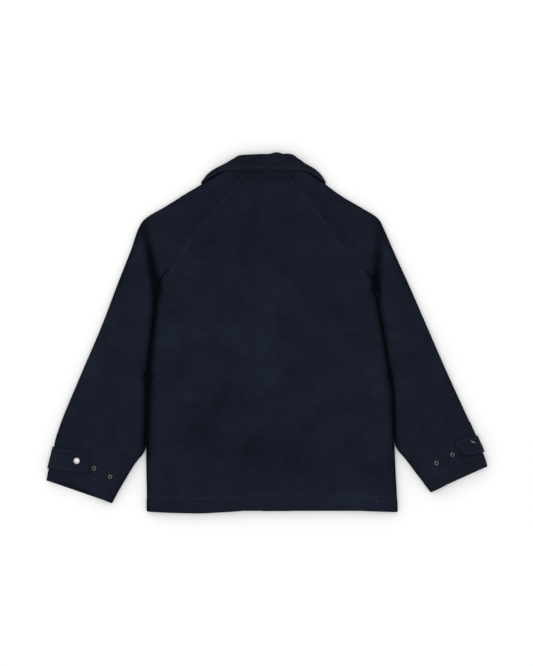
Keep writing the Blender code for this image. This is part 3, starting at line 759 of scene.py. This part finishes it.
def sleeve_reading(side, places, layer):
    """The ends of the rows of a sleeve at places in its table."""
    sleeve = SLEEVES[side]
    index = np.arange(len(sleeve["away"]))
    read = {name: along(places, index, sleeve[name]) for name in sleeve}
    y = read[f"{layer}_y"]
    edges = BODY if layer == "back" else FRONT_RAGLAN
    x = body_edge(side, y, edges) + side * (seam_inset(side, y, edges) + read["away"])
    inner = np.stack([x, y], 1)
    outer = np.stack([read["outer_x"], read["outer_y"]], 1)
    inward = inner - outer
    outer = outer + inward / np.linalg.norm(inward, axis=1, keepdims=True) * CLOTH / 2
    return inner, outer, side_curl(y)


def sleeve_rows(side, places, layer, middle=34):
    """Rows of one half of a sleeve, with how far each point lies from its two ends."""
    inner, outer, curl = sleeve_reading(side, places, layer)
    if layer == "back":
        plump = SLEEVE_PLUMP * ease(places, 7, 10)[:, None]
        height = lambda x, y: upper_height(x, y) + plump
    else:
        height = lower_height
    direction = 1 if layer == "back" else -1
    rounds = (SLEEVE_ROUND, SLEEVE_ROUND)
    return laid_rows(inner, outer, (curl, 1.0), rounds, height, direction, middle)


def sleeve_places(side, step=3.9):
    """Places in a sleeve's table about one step apart down the sleeve, closer at the cuff."""
    dense = np.linspace(0, 15, 1501)
    inner, outer, _ = sleeve_reading(side, dense, "back")
    middle = (inner + outer) / 2
    travelled = np.concatenate([[0], np.cumsum(np.linalg.norm(np.diff(middle, axis=0), axis=1))])
    stops = spaced([0, travelled[-1] - 5, travelled[-1]], step)
    return np.interp(stops, travelled, dense)


sheets = {"back_panel": back}
for side in (-1, 1):
    places = sleeve_places(side)
    for layer, direction in (("back", 1), ("front", -1)):
        rows, from_body, from_outer = sleeve_rows(side, places, layer)
        run = run_down(rows)
        if layer == "back":
            count = rows.shape[1]
            share = np.linspace(0, 1, count)
            pull = rows[-6] - rows[-1]
            pull /= np.linalg.norm(pull, axis=1, keepdims=True)
            reach = np.clip(1 - (run[-1] - run) / 60, 0, 1)[:, :, None]
            rows = rows + reach * (CUFF_ARCH[side] * np.sin(math.pi * share**1.5))[None, :, None] * pull
        open_edge = (1 - side_curl(rows[:, :1, 1]))
        press = open_edge * seam_valley(from_body)
        from_cuff = run[-1] - run
        press = press + stitched(from_cuff, CUFF_DEPTH, from_body) + 0.4 * (1 - ease(from_cuff, 22, 28))
        rows = rows + row_normals(rows, direction) * (press * (1 if layer == "back" else 0.5))[:, :, None]
        if layer == "front":
            rows[:, :, 2] = np.maximum(rows[:, :, 2], LOWER)
        name = f"sleeve_{WORDS[side]}_{layer}"
        sheets[name] = rows
        folded_rows = turned_up(rows, direction, CUFF_DEPTH)
        cloth_sheet(name, folded_rows, WOOL, upper=layer == "back")

# %% [markdown]
# ## The fronts
# The jacket lies on its two fronts, which overlap at the middle and close with snaps. They are
# hidden from above, but they show from below and through the neck, so they get the same cloth,
# creases and stitching. Each snap's cap sits in a small dimple that its clamping makes.

# %% The fronts
FRONT_OVERLAP = 20.0
FIRST_SNAP = 225.0
SNAP_SPACING = 112.0
SNAPS = [FIRST_SNAP - SNAP_SPACING * number for number in range(6)]
SNAP_DIMPLE = 1.15


def dimples(x, y):
    """The dimples round the snaps, which press the outer front's cloth in."""
    total = 0
    for snap_y in SNAPS[1:]:
        reach = np.hypot(x - float(centre_line(snap_y)), y - snap_y)
        total = total + SNAP_DIMPLE * (1 - ease(reach, 6.9, 11.0))
    return total


for side in (-1, 1):
    stops = [271.0]
    for snap_y in SNAPS:
        stops += [snap_y + 13, snap_y - 13]
    y = spaced([s for s in stops if s > -352] + [-352.5, -358.0], 3.9)
    if side < 0:
        fine = np.concatenate([np.arange(s - 12, s + 12.1, 1.6) for s in SNAPS[1:]])
        y = np.array(sorted({*np.round(y, 2), *np.round(fine, 2)}, reverse=True))
        y = y[np.concatenate([[True], -np.diff(y) > 0.5])]
        y = np.concatenate([y[y > -350], [-352.5, -355.5, -358.0]])
    curl = side_curl(y)
    near_neck = np.maximum(0.0, 1 - (271.0 - y) / 110)
    end_y = y - 20.0 * near_neck
    start = np.stack([body_edge(side, y, FRONT_RAGLAN) - side * seam_inset(side, y, FRONT_RAGLAN), y], 1)
    end = np.stack([centre_line(end_y) - side * FRONT_OVERLAP, end_y], 1)
    height = right_front_height if side > 0 else (lambda x, y: lower_height(x, y) + dimples(x, y))
    rows, from_side, from_edge = laid_rows(
        start, end, (curl, 0.0), (BODY_ROUND, 42.0), height, -1, 44, 22, 10.0 * near_neck
    )
    run = run_down(rows)
    press = (1 - curl)[:, None] * seam_valley(from_side) + stitched(from_edge, 6.0, run) * 0.6
    rows = rows + row_normals(rows, -1) * press[:, :, None]
    rows[:, :, 2] = np.maximum(rows[:, :, 2], LOWER)
    name = f"front_{WORDS[side]}"
    sheets[name] = rows
    cloth_sheet(name, turned_up(rows, -1), WOOL)

# %% [markdown]
# ## The collar
# The collar stands up from the neck seam, rolls over and falls outside, so it goes from the back
# round the sides to the floor. Each station round the neck has a profile: up the stand, round the
# roll and down the fall. The profiles follow a table, and two bumps in the roll are where the
# stiff cloth was bent over the seam inside.

# %% The collar
COLLAR_PLIES = 3.4
NECK_GAP = 0.7
NECK_SIDE_GAP = 0.6
COLLAR = table(
    "share roll_x roll_y edge_x edge_y edge_z gap puff turn",
    (0.00, 0, 350.4, 0, 322.6, 20.8, 6.5, 0.8, 0),
    (0.12, 28, 350.2, 30, 322.4, 20.8, 6.5, 0.8, 0),
    (0.22, 51, 348.8, 56, 322.2, 20.8, 6.5, 0.8, 0),
    (0.30, 63, 342.0, 80, 321.6, 20.6, 6.0, 1.5, 12),
    (0.36, 71, 336.0, 98, 314.6, 19.6, 5.5, 3.0, 38),
    (0.40, 75, 332.0, 114, 304.0, 16.5, 5.0, 5.0, 65),
    (0.43, 77, 329.0, 122, 300.6, 10.5, 4.6, 6.0, 90),
    (0.46, 73, 326.0, 124, 297.0, 3.6, 4.2, 2.0, 125),
    (0.50, 64, 319.0, 121, 284.0, 1.75, 3.85, 0.0, 160),
    (0.58, 51, 308.0, 117, 264.0, 1.75, 3.85, 0.0, 180),
    (0.70, 38, 288.0, 102, 242.0, 1.75, 3.85, 0.0, 180),
    (0.85, 21, 277.0, 77, 224.0, 1.75, 3.85, 0.0, 180),
    (1.00, 7, 268.0, 50, 208.0, 1.75, 3.85, 0.0, 180),
)
COLLAR_AXIS = (-3.0, 326.4)
COLLAR_SLANT = 0.11
# Bumps of the roll: where, how wide and how high
ROLL_BUMPS = ((20.0, 11.0, 4.2), (44.0, 9.0, 2.4), (-8.0, 14.0, 0.8))


def point_along(line, share):
    """Points at shares of a line's length."""
    steps = np.linalg.norm(np.diff(line, axis=0), axis=1)
    travelled = np.concatenate([[0.0], np.cumsum(steps)])
    return np.stack([np.interp(share * travelled[-1], travelled, line[:, k]) for k in range(3)], -1)


def neckline(side):
    """The neck seam's half on one side, from the middle of the back to the front."""
    word = WORDS[side]
    top = sheets["back_panel"][0]
    middle = point_along(top, 0.5)
    half = top[side * (top[:, 0] - middle[0]) > 0]
    half = half if side > 0 else half[::-1]
    front = sheets[f"front_{word}"][0]
    limit = float(centre_line(front[-1][1])) + side * 6.0
    front = front[side * (front[:, 0] - limit) > 0]
    sleeve_back, sleeve_front = sheets[f"sleeve_{word}_back"][0], sheets[f"sleeve_{word}_front"][0]
    return np.concatenate([[middle], half, sleeve_back, sleeve_front[::-1], front])


def collar_profile(side, share, seam):
    """One profile of the collar: up the stand, over the roll and down the fall."""
    read = {name: float(along(share, COLLAR["share"], COLLAR[name])) for name in COLLAR}
    axis = COLLAR_AXIS[0] + COLLAR_SLANT * (read["roll_y"] - COLLAR_AXIS[1])
    roll = np.array([axis + side * read["roll_x"], read["roll_y"], seam[2]])
    axis = COLLAR_AXIS[0] + COLLAR_SLANT * (read["edge_y"] - COLLAR_AXIS[1])
    edge = np.array([axis + side * read["edge_x"], read["edge_y"], read["edge_z"]])
    if share < 0.3:
        for place, wide, high in ROLL_BUMPS:
            roll[1] += high * math.exp(-(((roll[0] - place) / wide) ** 2))
    rise = (roll - seam) / np.linalg.norm(roll - seam)
    turn = math.radians(read["turn"])
    out = np.array([side * 0.67 * math.sin(turn), 0.74 * math.sin(turn), math.cos(turn)])
    out /= np.linalg.norm(out)
    gap = read["gap"] if read["turn"] <= 120 else max(read["gap"], seam[2] - read["edge_z"])
    foot = seam + rise * (NECK_GAP + NECK_SIDE_GAP * math.sin(turn))
    fall = roll + out * gap
    control = (fall + edge) / 2 + out * 2 * read["puff"]
    profile = [foot + (roll - foot) * t for t in np.linspace(0, 1, 7)]
    for angle in np.linspace(0, math.pi, 11)[1:]:
        profile.append(roll + rise * 0.44 * gap * math.sin(angle) + out * gap * (1 - math.cos(angle)) / 2)
    for t in np.linspace(0, 1, 17)[1:]:
        profile.append(fall * (1 - t) ** 2 + control * 2 * t * (1 - t) + edge * t * t)
    return np.array(profile)


COLLAR_STRETCHES = ((0.0, 0.3, 26), (0.3, 0.5, 40), (0.5, 1.0, 36))
stretches = [np.linspace(first, last, count)[1:] for first, last, count in COLLAR_STRETCHES]
stations = np.concatenate([[0.0], *stretches])
profiles = []
for side, shares in ((-1, stations[::-1]), (1, stations[1:])):
    line = neckline(side)
    for share in shares:
        profiles.append(collar_profile(side, share, point_along(line, share)))
collar = np.array(profiles)
normals = np.cross(np.gradient(collar, axis=0), np.gradient(collar, axis=1))
normals /= np.maximum(np.linalg.norm(normals, axis=2, keepdims=True), 1e-9)
if normals[len(normals) // 2, -4, 2] < 0:
    normals = -normals
steps = np.linalg.norm(np.diff(collar, axis=1), axis=2)
from_edge = np.hstack([np.cumsum(steps[:, ::-1], axis=1)[:, ::-1], np.zeros((len(collar), 1))])
run = np.concatenate([[0], np.cumsum(np.linalg.norm(np.diff(collar[:, -1], axis=0), axis=1))])[:, None]
fall_side = (np.arange(collar.shape[1]) > 15)[None, :]
collar = collar + normals * (stitched(from_edge, 6.0, run, 0.4) * fall_side)[:, :, None]
cloth_sheet("collar", collar, COLLAR_WOOL, COLLAR_PLIES, round_rim=1.0)

# %% [markdown]
# ## The cuff tabs
# A tab is a short strap of two plies that wraps round the cuff's outer edge and snaps down. It is
# laid on the sleeve by walking in from the sleeve's outer edge along its rows, and then moved out
# along the cloth's normals. The right one stands off at its lower edge, where the snap pulls it.

# %% The cuff tabs
TAB_PLIES = 2.8
TAB_GAP = 0.8
CUFF_TABS = {
    -1: dict(upper=(12.75, 12.74), lower=(14.1, 13.63), length=(74, 83), lift=0.6,
             cap=(0.70, 0.52), lean=0),
    1: dict(upper=(12.71, 12.59), lower=(13.88, 13.54), length=(50, 40), lift=10.0,
            cap=(0.50, 0.46), lean=68),
}  # fmt: skip


def sleeve_point(side, place, distance):
    """A point in the cloth of a sleeve's back, so far in from its outer edge along its row."""
    row = sleeve_rows(side, np.array([place]), "back")[0][0][::-1]
    length = np.linalg.norm(np.diff(row, axis=0), axis=1).sum()
    return point_along(row, distance / length)


def tab_rows(side, count_along=30, count_across=20):
    """The middle of a tab, on the sleeve and out from it."""
    tab = CUFF_TABS[side]
    share = np.linspace(0, 1, count_across)
    rows = []
    for t in np.linspace(0, 1, count_along):
        upper, lower = (np.interp(t, (0, 1), tab[name]) for name in ("upper", "lower"))
        rows.append([
            sleeve_point(side, upper + (lower - upper) * s, 1.0 + t * np.interp(s, (0, 1), tab["length"]))
            for s in share
        ])  # fmt: skip
    cloth = np.array(rows)
    t = np.linspace(0, 1, count_along)[:, None, None]
    lift = tab["lift"] * share[None, :, None] ** 1.5 * np.sin(math.pi / 2 * np.minimum(1, 1.6 * t))
    return cloth + row_normals(cloth, 1) * (CLOTH / 2 + TAB_GAP + TAB_PLIES / 2 + lift)


def rounded_tab(rows, edge=4.5):
    """The tab with the line that its edge stitching draws in."""
    down = np.linalg.norm(np.diff(rows, axis=0), axis=2)
    across = np.linalg.norm(np.diff(rows, axis=1), axis=2)
    from_end = np.vstack([np.cumsum(down[::-1], axis=0)[::-1], np.zeros((1, rows.shape[1]))])
    from_top = np.hstack([np.zeros((rows.shape[0], 1)), np.cumsum(across, axis=1)])
    nearest = np.minimum(from_end, np.minimum(from_top, from_top[:, -1:] - from_top))
    return rows + row_normals(rows, 1) * (-0.45 * np.exp(-(((nearest - edge) / 1.2) ** 2)))[:, :, None]


tab_grids = {side: rounded_tab(tab_rows(side)) for side in (-1, 1)}
for side, grid in tab_grids.items():
    cloth_sheet(f"cuff_tab_{WORDS[side]}", grid, WOOL, TAB_PLIES, round_rim=0.9)

# %% [markdown]
# ## The snaps
# A snap's cap is a thin metal disc with a low dome and a rolled rim, and a bare stud is a small
# ring with a post in the middle. Both are turned shapes. A ring of edges is extruded from one
# radius and height to the next, as on a lathe. The metal is plated, with fine scratches.

# %% The metal and its pieces
TARNISH = 0.82


def make_metal(name, colour, rough):
    """Plated metal with a soft polish, fine scratches and a little tarnish."""
    made, tree, shader = new_material(name)
    place = tree.nodes.new("ShaderNodeTexCoord").outputs["Object"]
    wear = noise_node(tree, place, 900, 4, 0.6)
    scratch = noise_node(tree, place, 5200, 2, 0.8)
    tone = two_tone(tree, wear, [TARNISH * c for c in colour], colour)
    worn = math_node(tree, "ADD", math_node(tree, "MULTIPLY", wear, 0.22), rough)
    bump = tree.nodes.new("ShaderNodeBump")
    bump.inputs["Strength"].default_value = 0.15
    bump.inputs["Distance"].default_value = 0.0001
    link(
        tree,
        (tone, shader.inputs["Base Color"]),
        (worn, shader.inputs["Roughness"]),
        (scratch, bump.inputs["Height"]),
        (bump.outputs["Normal"], shader.inputs["Normal"]),
    )
    shader.inputs["Metallic"].default_value = 1.0
    return made


CAP_METAL = make_metal("plated_cap", (0.60, 0.58, 0.56), 0.20)
# A darker copy of the plated cap for the right cuff: painted shade, for a cap that leans away from the light
SHADED_CAP_METAL = make_metal("painted_shade_cap", (0.27, 0.25, 0.225), 0.32)
STUD_METAL = make_metal("dull_stud", (0.25, 0.24, 0.22), 0.30)
# Painted shade for the recess in each stud
SHADED_HOLLOW_METAL = make_metal("painted_shade_hollow", (0.022, 0.021, 0.020), 0.45)

# The turned outlines, as radius and height from the base up
CUFF_CAP = (
    (6.0, 0.0), (6.25, 0.25), (6.25, 0.75), (6.0, 1.1), (5.5, 1.3),
    (5.0, 1.36), (4.6, 1.5), (3.4, 1.95), (2.0, 2.25), (0.8, 2.38),
)  # fmt: skip
FRONT_CAP = (
    (6.0, 0.0), (6.25, 0.2), (6.1, 0.42), (5.6, 0.56),
    (5.0, 0.58), (4.4, 0.68), (2.6, 0.76), (0.9, 0.79),
)  # fmt: skip
STUD = ((4.4, 0.0), (4.5, 0.35), (4.4, 0.8), (4.0, 1.3), (3.5, 1.75), (3.1, 1.88), (2.8, 1.75), (2.5, 1.2),
        (2.2, 0.75), (1.9, 0.7), (1.5, 0.75), (1.3, 1.0), (0.7, 1.15))  # fmt: skip


def turned(name, outline, placing, metal, hollow=0.0):
    """A turned piece: a ring of edges drawn out through the radii and heights of an outline.

    Within the radius of its hollow it is painted dark, as painted shade in the recess."""
    radius, height = outline[0]
    bpy.ops.object.select_all(action="DESELECT")
    bpy.ops.mesh.primitive_circle_add(
        vertices=40, radius=radius * MM, fill_type="NGON", location=(0, 0, height * MM)
    )
    piece = bpy.context.active_object
    piece.name = name
    bpy.ops.object.transform_apply(location=True, rotation=True, scale=True)
    bpy.ops.object.mode_set(mode="EDIT")
    bpy.ops.mesh.select_all(action="SELECT")
    bpy.ops.mesh.flip_normals()
    bpy.ops.mesh.select_mode(type="EDGE")
    bpy.ops.mesh.select_all(action="SELECT")
    for next_radius, next_height in outline[1:]:
        factor = next_radius / radius
        rise = (0, 0, (next_height - height) * MM)
        bpy.ops.mesh.extrude_edges_move(TRANSFORM_OT_translate={"value": rise})
        bpy.ops.transform.resize(value=(factor, factor, 1), center_override=(0, 0, next_height * MM))
        radius, height = next_radius, next_height
    bpy.ops.mesh.edge_face_add()
    bpy.ops.mesh.select_all(action="SELECT")
    bpy.ops.mesh.normals_make_consistent(inside=False)
    bpy.ops.object.mode_set(mode="OBJECT")
    piece.data.materials.append(metal)
    if hollow:
        piece.data.materials.append(SHADED_HOLLOW_METAL)
        # Faces inside the hollow take the painted shade
        for face in piece.data.polygons:
            inside = math.hypot(face.center.x, face.center.y) < hollow * MM and face.center.z > 0
            face.material_index = 1 if inside else 0
    piece.data.transform(placing)
    bpy.ops.object.shade_smooth_by_angle(angle=math.radians(40))
    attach(piece, "root")
    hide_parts(name)
    return piece


def seat(point, out, height):
    """The placing of a turned piece whose base lies so far out from a point of the cloth."""
    out = Vector(out).normalized()
    turn = Vector((0, 0, 1)).rotation_difference(out).to_matrix().to_4x4()
    place = Vector(point) + out * height - Vector((*OUTLINE_CENTRE, 0))
    return Matrix.Translation(place * MM) @ turn


CUFF_STUDS = {-1: ((13.42, 92.6), (13.56, 127.6)), 1: ((13.30, 63.0), (13.42, 99.0))}
for side in (-1, 1):
    tab, grid = CUFF_TABS[side], tab_grids[side]
    row, column = (round(share * (size - 1)) for share, size in zip(tab["cap"], grid.shape))
    out = Vector(row_normals(grid, 1)[row, column])
    lean = Matrix.Rotation(math.radians(tab["lean"]), 3, Vector((-0.84, 0.53, 0)))
    edge_rise = 6.25 * math.sin(math.radians(1.25 * tab["lean"]))
    placing = seat(grid[row, column], lean @ out, TAB_PLIES / 2 + SEAM_GAP + edge_rise)
    turned(f"cuff_cap_{WORDS[side]}", CUFF_CAP, placing, CAP_METAL if side < 0 else SHADED_CAP_METAL)
    for number, (place, distance) in enumerate(CUFF_STUDS[side], start=1):
        here = sleeve_point(side, place, distance)
        further = sleeve_point(side, place, distance + 2) - here
        down = sleeve_point(side, place + 0.05, distance) - here
        out = np.cross(further, down)
        out *= math.copysign(1, out[2])
        placing = seat(here, out, CLOTH / 2 + 0.15)
        turned(f"cuff_stud_{WORDS[side]}_{number}", STUD, placing, STUD_METAL, hollow=2.4)
for number, y in enumerate(SNAPS):
    x = float(centre_line(y))
    low = float(lower_height(x, y)) - CLOTH / 2 - SEAM_GAP if number == 0 else 0.8
    placing = seat((x, y, low), (0, 0, -1), 0.0)
    turned(f"front_snap_{number + 1}", FRONT_CAP, placing, CAP_METAL)

# %% [markdown]
# ## The stitching
# Every topstitched line is a row of short stitches of twisted navy thread, a little lighter than
# the wool. One stitch is modelled as a small flattened spindle, and its copies are laid along a
# line on the cloth, each turned along the line and half sunk in it.

# %% The stitches
def make_thread():
    """Twisted thread: a fine ripple along its own length and a soft sheen."""
    made, tree, shader = new_material("navy_thread")
    place = tree.nodes.new("ShaderNodeTexCoord").outputs["Object"]
    twist = noise_node(tree, place, 3200, 2, 0.6)
    tone = two_tone(tree, twist, (0.006, 0.008, 0.014), (0.013, 0.017, 0.028))
    tree.links.new(tone, shader.inputs["Base Color"])
    shader.inputs["Roughness"].default_value = 0.62
    shader.inputs["Sheen Weight"].default_value = 0.1
    return made


THREAD = make_thread()
bpy.ops.object.select_all(action="DESELECT")
bpy.ops.mesh.primitive_uv_sphere_add(
    segments=6, ring_count=5, radius=1.0, rotation=(0, math.radians(90), 0)
)
one_stitch = bpy.context.active_object
bpy.ops.object.transform_apply(location=True, rotation=True, scale=True)
STITCH_POINTS = np.array([v.co[:] for v in one_stitch.data.vertices])
STITCH_FACES = [tuple(p.vertices) for p in one_stitch.data.polygons]
bpy.data.objects.remove(one_stitch)


def stitch_line(points, outs, pitch=3.6, length=2.7, thick=0.55):
    """Stitches along a line on the cloth, as points and faces."""
    steps = np.linalg.norm(np.diff(points, axis=0), axis=1)
    travelled = np.concatenate([[0.0], np.cumsum(steps)])
    places = np.arange(pitch, travelled[-1] - pitch, pitch)
    read = lambda values, at: np.stack([np.interp(at, travelled, values[:, k]) for k in range(3)], -1)
    centre = read(points, places)
    ahead = read(points, places + 0.5) - read(points, places - 0.5)
    ahead /= np.linalg.norm(ahead, axis=1, keepdims=True)
    out = read(outs, places)
    beside = np.cross(out, ahead)
    beside /= np.linalg.norm(beside, axis=1, keepdims=True)
    up = np.cross(ahead, beside)
    size = STITCH_POINTS * [length / 2, thick / 2, thick * 0.35]
    turned_size = size[None, :, :1] * ahead[:, None]
    turned_size = turned_size + size[None, :, 1:2] * beside[:, None]
    turned_size = turned_size + size[None, :, 2:] * up[:, None]
    return centre[:, None] + turned_size


def line_on(rows, direction, thickness, pick):
    """A line on the outer side of a sheet, through the points that pick gives for each row."""
    normals = row_normals(rows, direction)
    return pick(rows + normals * (thickness / 2 + 0.02)), pick(normals)


def at_distance(distance, place):
    """Picks, in each row, the point that lies so far along the row."""
    def pick(values):
        index = np.array([np.interp(place, d, np.arange(len(d))) for d in distance])
        low = np.clip(index.astype(int), 0, values.shape[1] - 2)
        part = (index - low)[:, None]
        rows = np.arange(len(values))
        return values[rows, low] * (1 - part) + values[rows, low + 1] * part
    return pick


def spindles(name, copies, material):
    """One piece made of many copies of the spindle, each with its own points."""
    points = (copies - [*OUTLINE_CENTRE, 0.0]) * MM
    each = len(STITCH_POINTS)
    faces = [tuple(n * each + v for v in face) for n in range(len(copies)) for face in STITCH_FACES]
    mesh = bpy.data.meshes.new(name)
    mesh.from_pydata(points.reshape(-1, 3).tolist(), [], faces)
    mesh.materials.append(material)
    mesh.shade_smooth()
    piece = bpy.data.objects.new(name, mesh)
    bpy.context.scene.collection.objects.link(piece)
    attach(piece, "root")
    print(name, len(copies), "spindles")
    return piece


def sew(name, lines):
    """One piece of thread for all the stitch lines of a seam."""
    return spindles(name, np.concatenate([stitch_line(points, outs) for points, outs in lines]), THREAD)


def arc(rows):
    """How far each point lies along its row."""
    steps = np.linalg.norm(np.diff(rows, axis=1), axis=2)
    return np.hstack([np.zeros((len(rows), 1)), np.cumsum(steps, axis=1)])


# %% The stitched lines
raglan = (back[:, 0, 1] > 112) & (back[:, 0, 1] < 322)
from_left_arc = arc(back)
lines = []
for distance in (from_left_arc, from_left_arc[:, -1:] - from_left_arc):
    order = slice(None) if distance[0, 0] == 0 else slice(None, None, -1)
    pick = at_distance(distance[:, order], TOPSTITCH)
    points, outs = line_on(back[:, order], 1, CLOTH, pick)
    lines.append((points[raglan], outs[raglan]))
raglan_thread = sew("raglan_stitching", lines)


def across_at(rows, direction, depth, thickness=CLOTH, margin=3):
    """The line across a sheet, so far from its last row."""
    left = run_down(rows)[-1, 0] - run_down(rows)[:, 0]
    number = int(np.argmin(abs(left - depth)))
    normals = row_normals(rows, direction)
    line = rows[number] + normals[number] * (thickness / 2 + 0.02)
    return line[margin:-margin], normals[number][margin:-margin]


hem_thread = sew(
    "hem_stitching",
    [across_at(back, 1, HEM_DEPTH)]
    + [across_at(sheets[f"front_{word}"], -1, HEM_DEPTH) for word in ("left", "right")],
)
cuff_thread = {
    side: sew(
        f"cuff_stitching_{WORDS[side]}",
        [
            across_at(sheets[f"sleeve_{WORDS[side]}_back"], 1, CUFF_DEPTH),
            across_at(sheets[f"sleeve_{WORDS[side]}_front"], -1, CUFF_DEPTH),
        ],
    )
    for side in (-1, 1)
}
pick = at_distance(from_edge[:, ::-1], 6.0)
collar_points = pick((collar + normals * (COLLAR_PLIES / 2 + 0.02))[:, ::-1])
collar_thread = sew("collar_stitching", [(collar_points, pick(normals[:, ::-1]))])
tab_thread = {}
for side, grid in tab_grids.items():
    outs = row_normals(grid, 1)
    surface = grid + outs * (TAB_PLIES / 2 + 0.02)
    a, b, c = 2, -3, -3
    loop = np.concatenate([surface[:c, a], surface[c, a:b], surface[:c, b][::-1]])
    loop_outs = np.concatenate([outs[:c, a], outs[c, a:b], outs[:c, b][::-1]])
    name = f"cuff_tab_stitching_{WORDS[side]}"
    tab_thread[side] = sew(name, [(loop, loop_outs)])

# %% [markdown]
# ## Lint
# A few specks of pale lint lie on the wool where the photograph shows them. Each is a tiny tuft,
# modelled once as a squashed lump, and copied with its own size and turn.

# %% The lint
LINT = table(
    "x y size",
    (136.6, 208.4, 0.9),
    (-186.0, 50.4, 0.8),
    (-51.0, -96.6, 0.7),
    (-136.2, -163.6, 0.7),
    (-25.0, -169.6, 0.8),
    (-174.0, -128.6, 0.6),
    (221.0, -337.6, 0.9),
)


def on_back(x, y):
    """The outer surface of the back at a place."""
    flat = np.abs(back[:, :, 0] - x) + np.abs(back[:, :, 1] - y)
    i, j = np.unravel_index(np.argmin(flat), flat.shape)
    return np.array([x, y, back[i, j, 2] + CLOTH / 2 + 0.15])


lint_material, tree, shader = new_material("pale_lint")
speckle = noise_node(tree, tree.nodes.new("ShaderNodeTexCoord").outputs["Object"], 2600, 2)
tree.links.new(two_tone(tree, speckle, (0.05, 0.055, 0.07), (0.16, 0.17, 0.19)), shader.inputs["Base Color"])
shader.inputs["Roughness"].default_value = 0.95

specks = []
for x, y, size in zip(*LINT.values()):
    turn = x * 0.7 + y
    tuft = STITCH_POINTS * [size, size * 0.6, size * 0.35]
    spun = np.stack([
        tuft[:, 0] * math.cos(turn) - tuft[:, 1] * math.sin(turn),
        tuft[:, 0] * math.sin(turn) + tuft[:, 1] * math.cos(turn),
        tuft[:, 2],
    ], 1)  # fmt: skip
    specks.append(spun + on_back(x, y))
lint = spindles("lint", np.array(specks), lint_material)

# %% [markdown]
# ## The floor's finish
# The floor is matt white card with the faintest unevenness, so that nothing competes with the
# dark cloth.

# %% The floor's finish
card, tree, shader = new_material("white_card")
mottle = noise_node(tree, tree.nodes.new("ShaderNodeTexCoord").outputs["Object"], 3, 2)
tree.links.new(two_tone(tree, mottle, (0.97, 0.97, 0.97), (1.0, 1.0, 1.0)), shader.inputs["Base Color"])
shader.inputs["Roughness"].default_value = 0.9
shader.inputs["Specular IOR Level"].default_value = 0.0
floor.data.materials.append(card)

# %% [markdown]
# ## The cloth's cut
# Each sheet's flat cut is listed with its size, beside the thread pieces that lie on it. The cuts
# aren't rectangles, so their areas are given too.

# %% The listed sheets
CUTS = {
    "back_panel": (0.53, 0.74, 0.292),
    "front_left": (0.31, 0.66, 0.150),
    "front_right": (0.31, 0.66, 0.150),
    "sleeve_left_back": (0.26, 0.66, 0.105),
    "sleeve_left_front": (0.26, 0.62, 0.105),
    "sleeve_right_back": (0.26, 0.64, 0.100),
    "sleeve_right_front": (0.26, 0.60, 0.100),
    "collar": (0.46, 0.11, 0.034),
    "cuff_tab_left": (0.09, 0.052, 0.0042),
    "cuff_tab_right": (0.055, 0.045, 0.0020),
}
THREADS = {
    "back_panel": [raglan_thread, hem_thread, lint],
    "sleeve_left_back": [cuff_thread[-1]],
    "sleeve_right_back": [cuff_thread[1]],
    "collar": [collar_thread],
    "cuff_tab_left": [tab_thread[-1]],
    "cuff_tab_right": [tab_thread[1]],
}
for name, (width, length, area) in CUTS.items():
    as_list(THREADS.get(name, []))
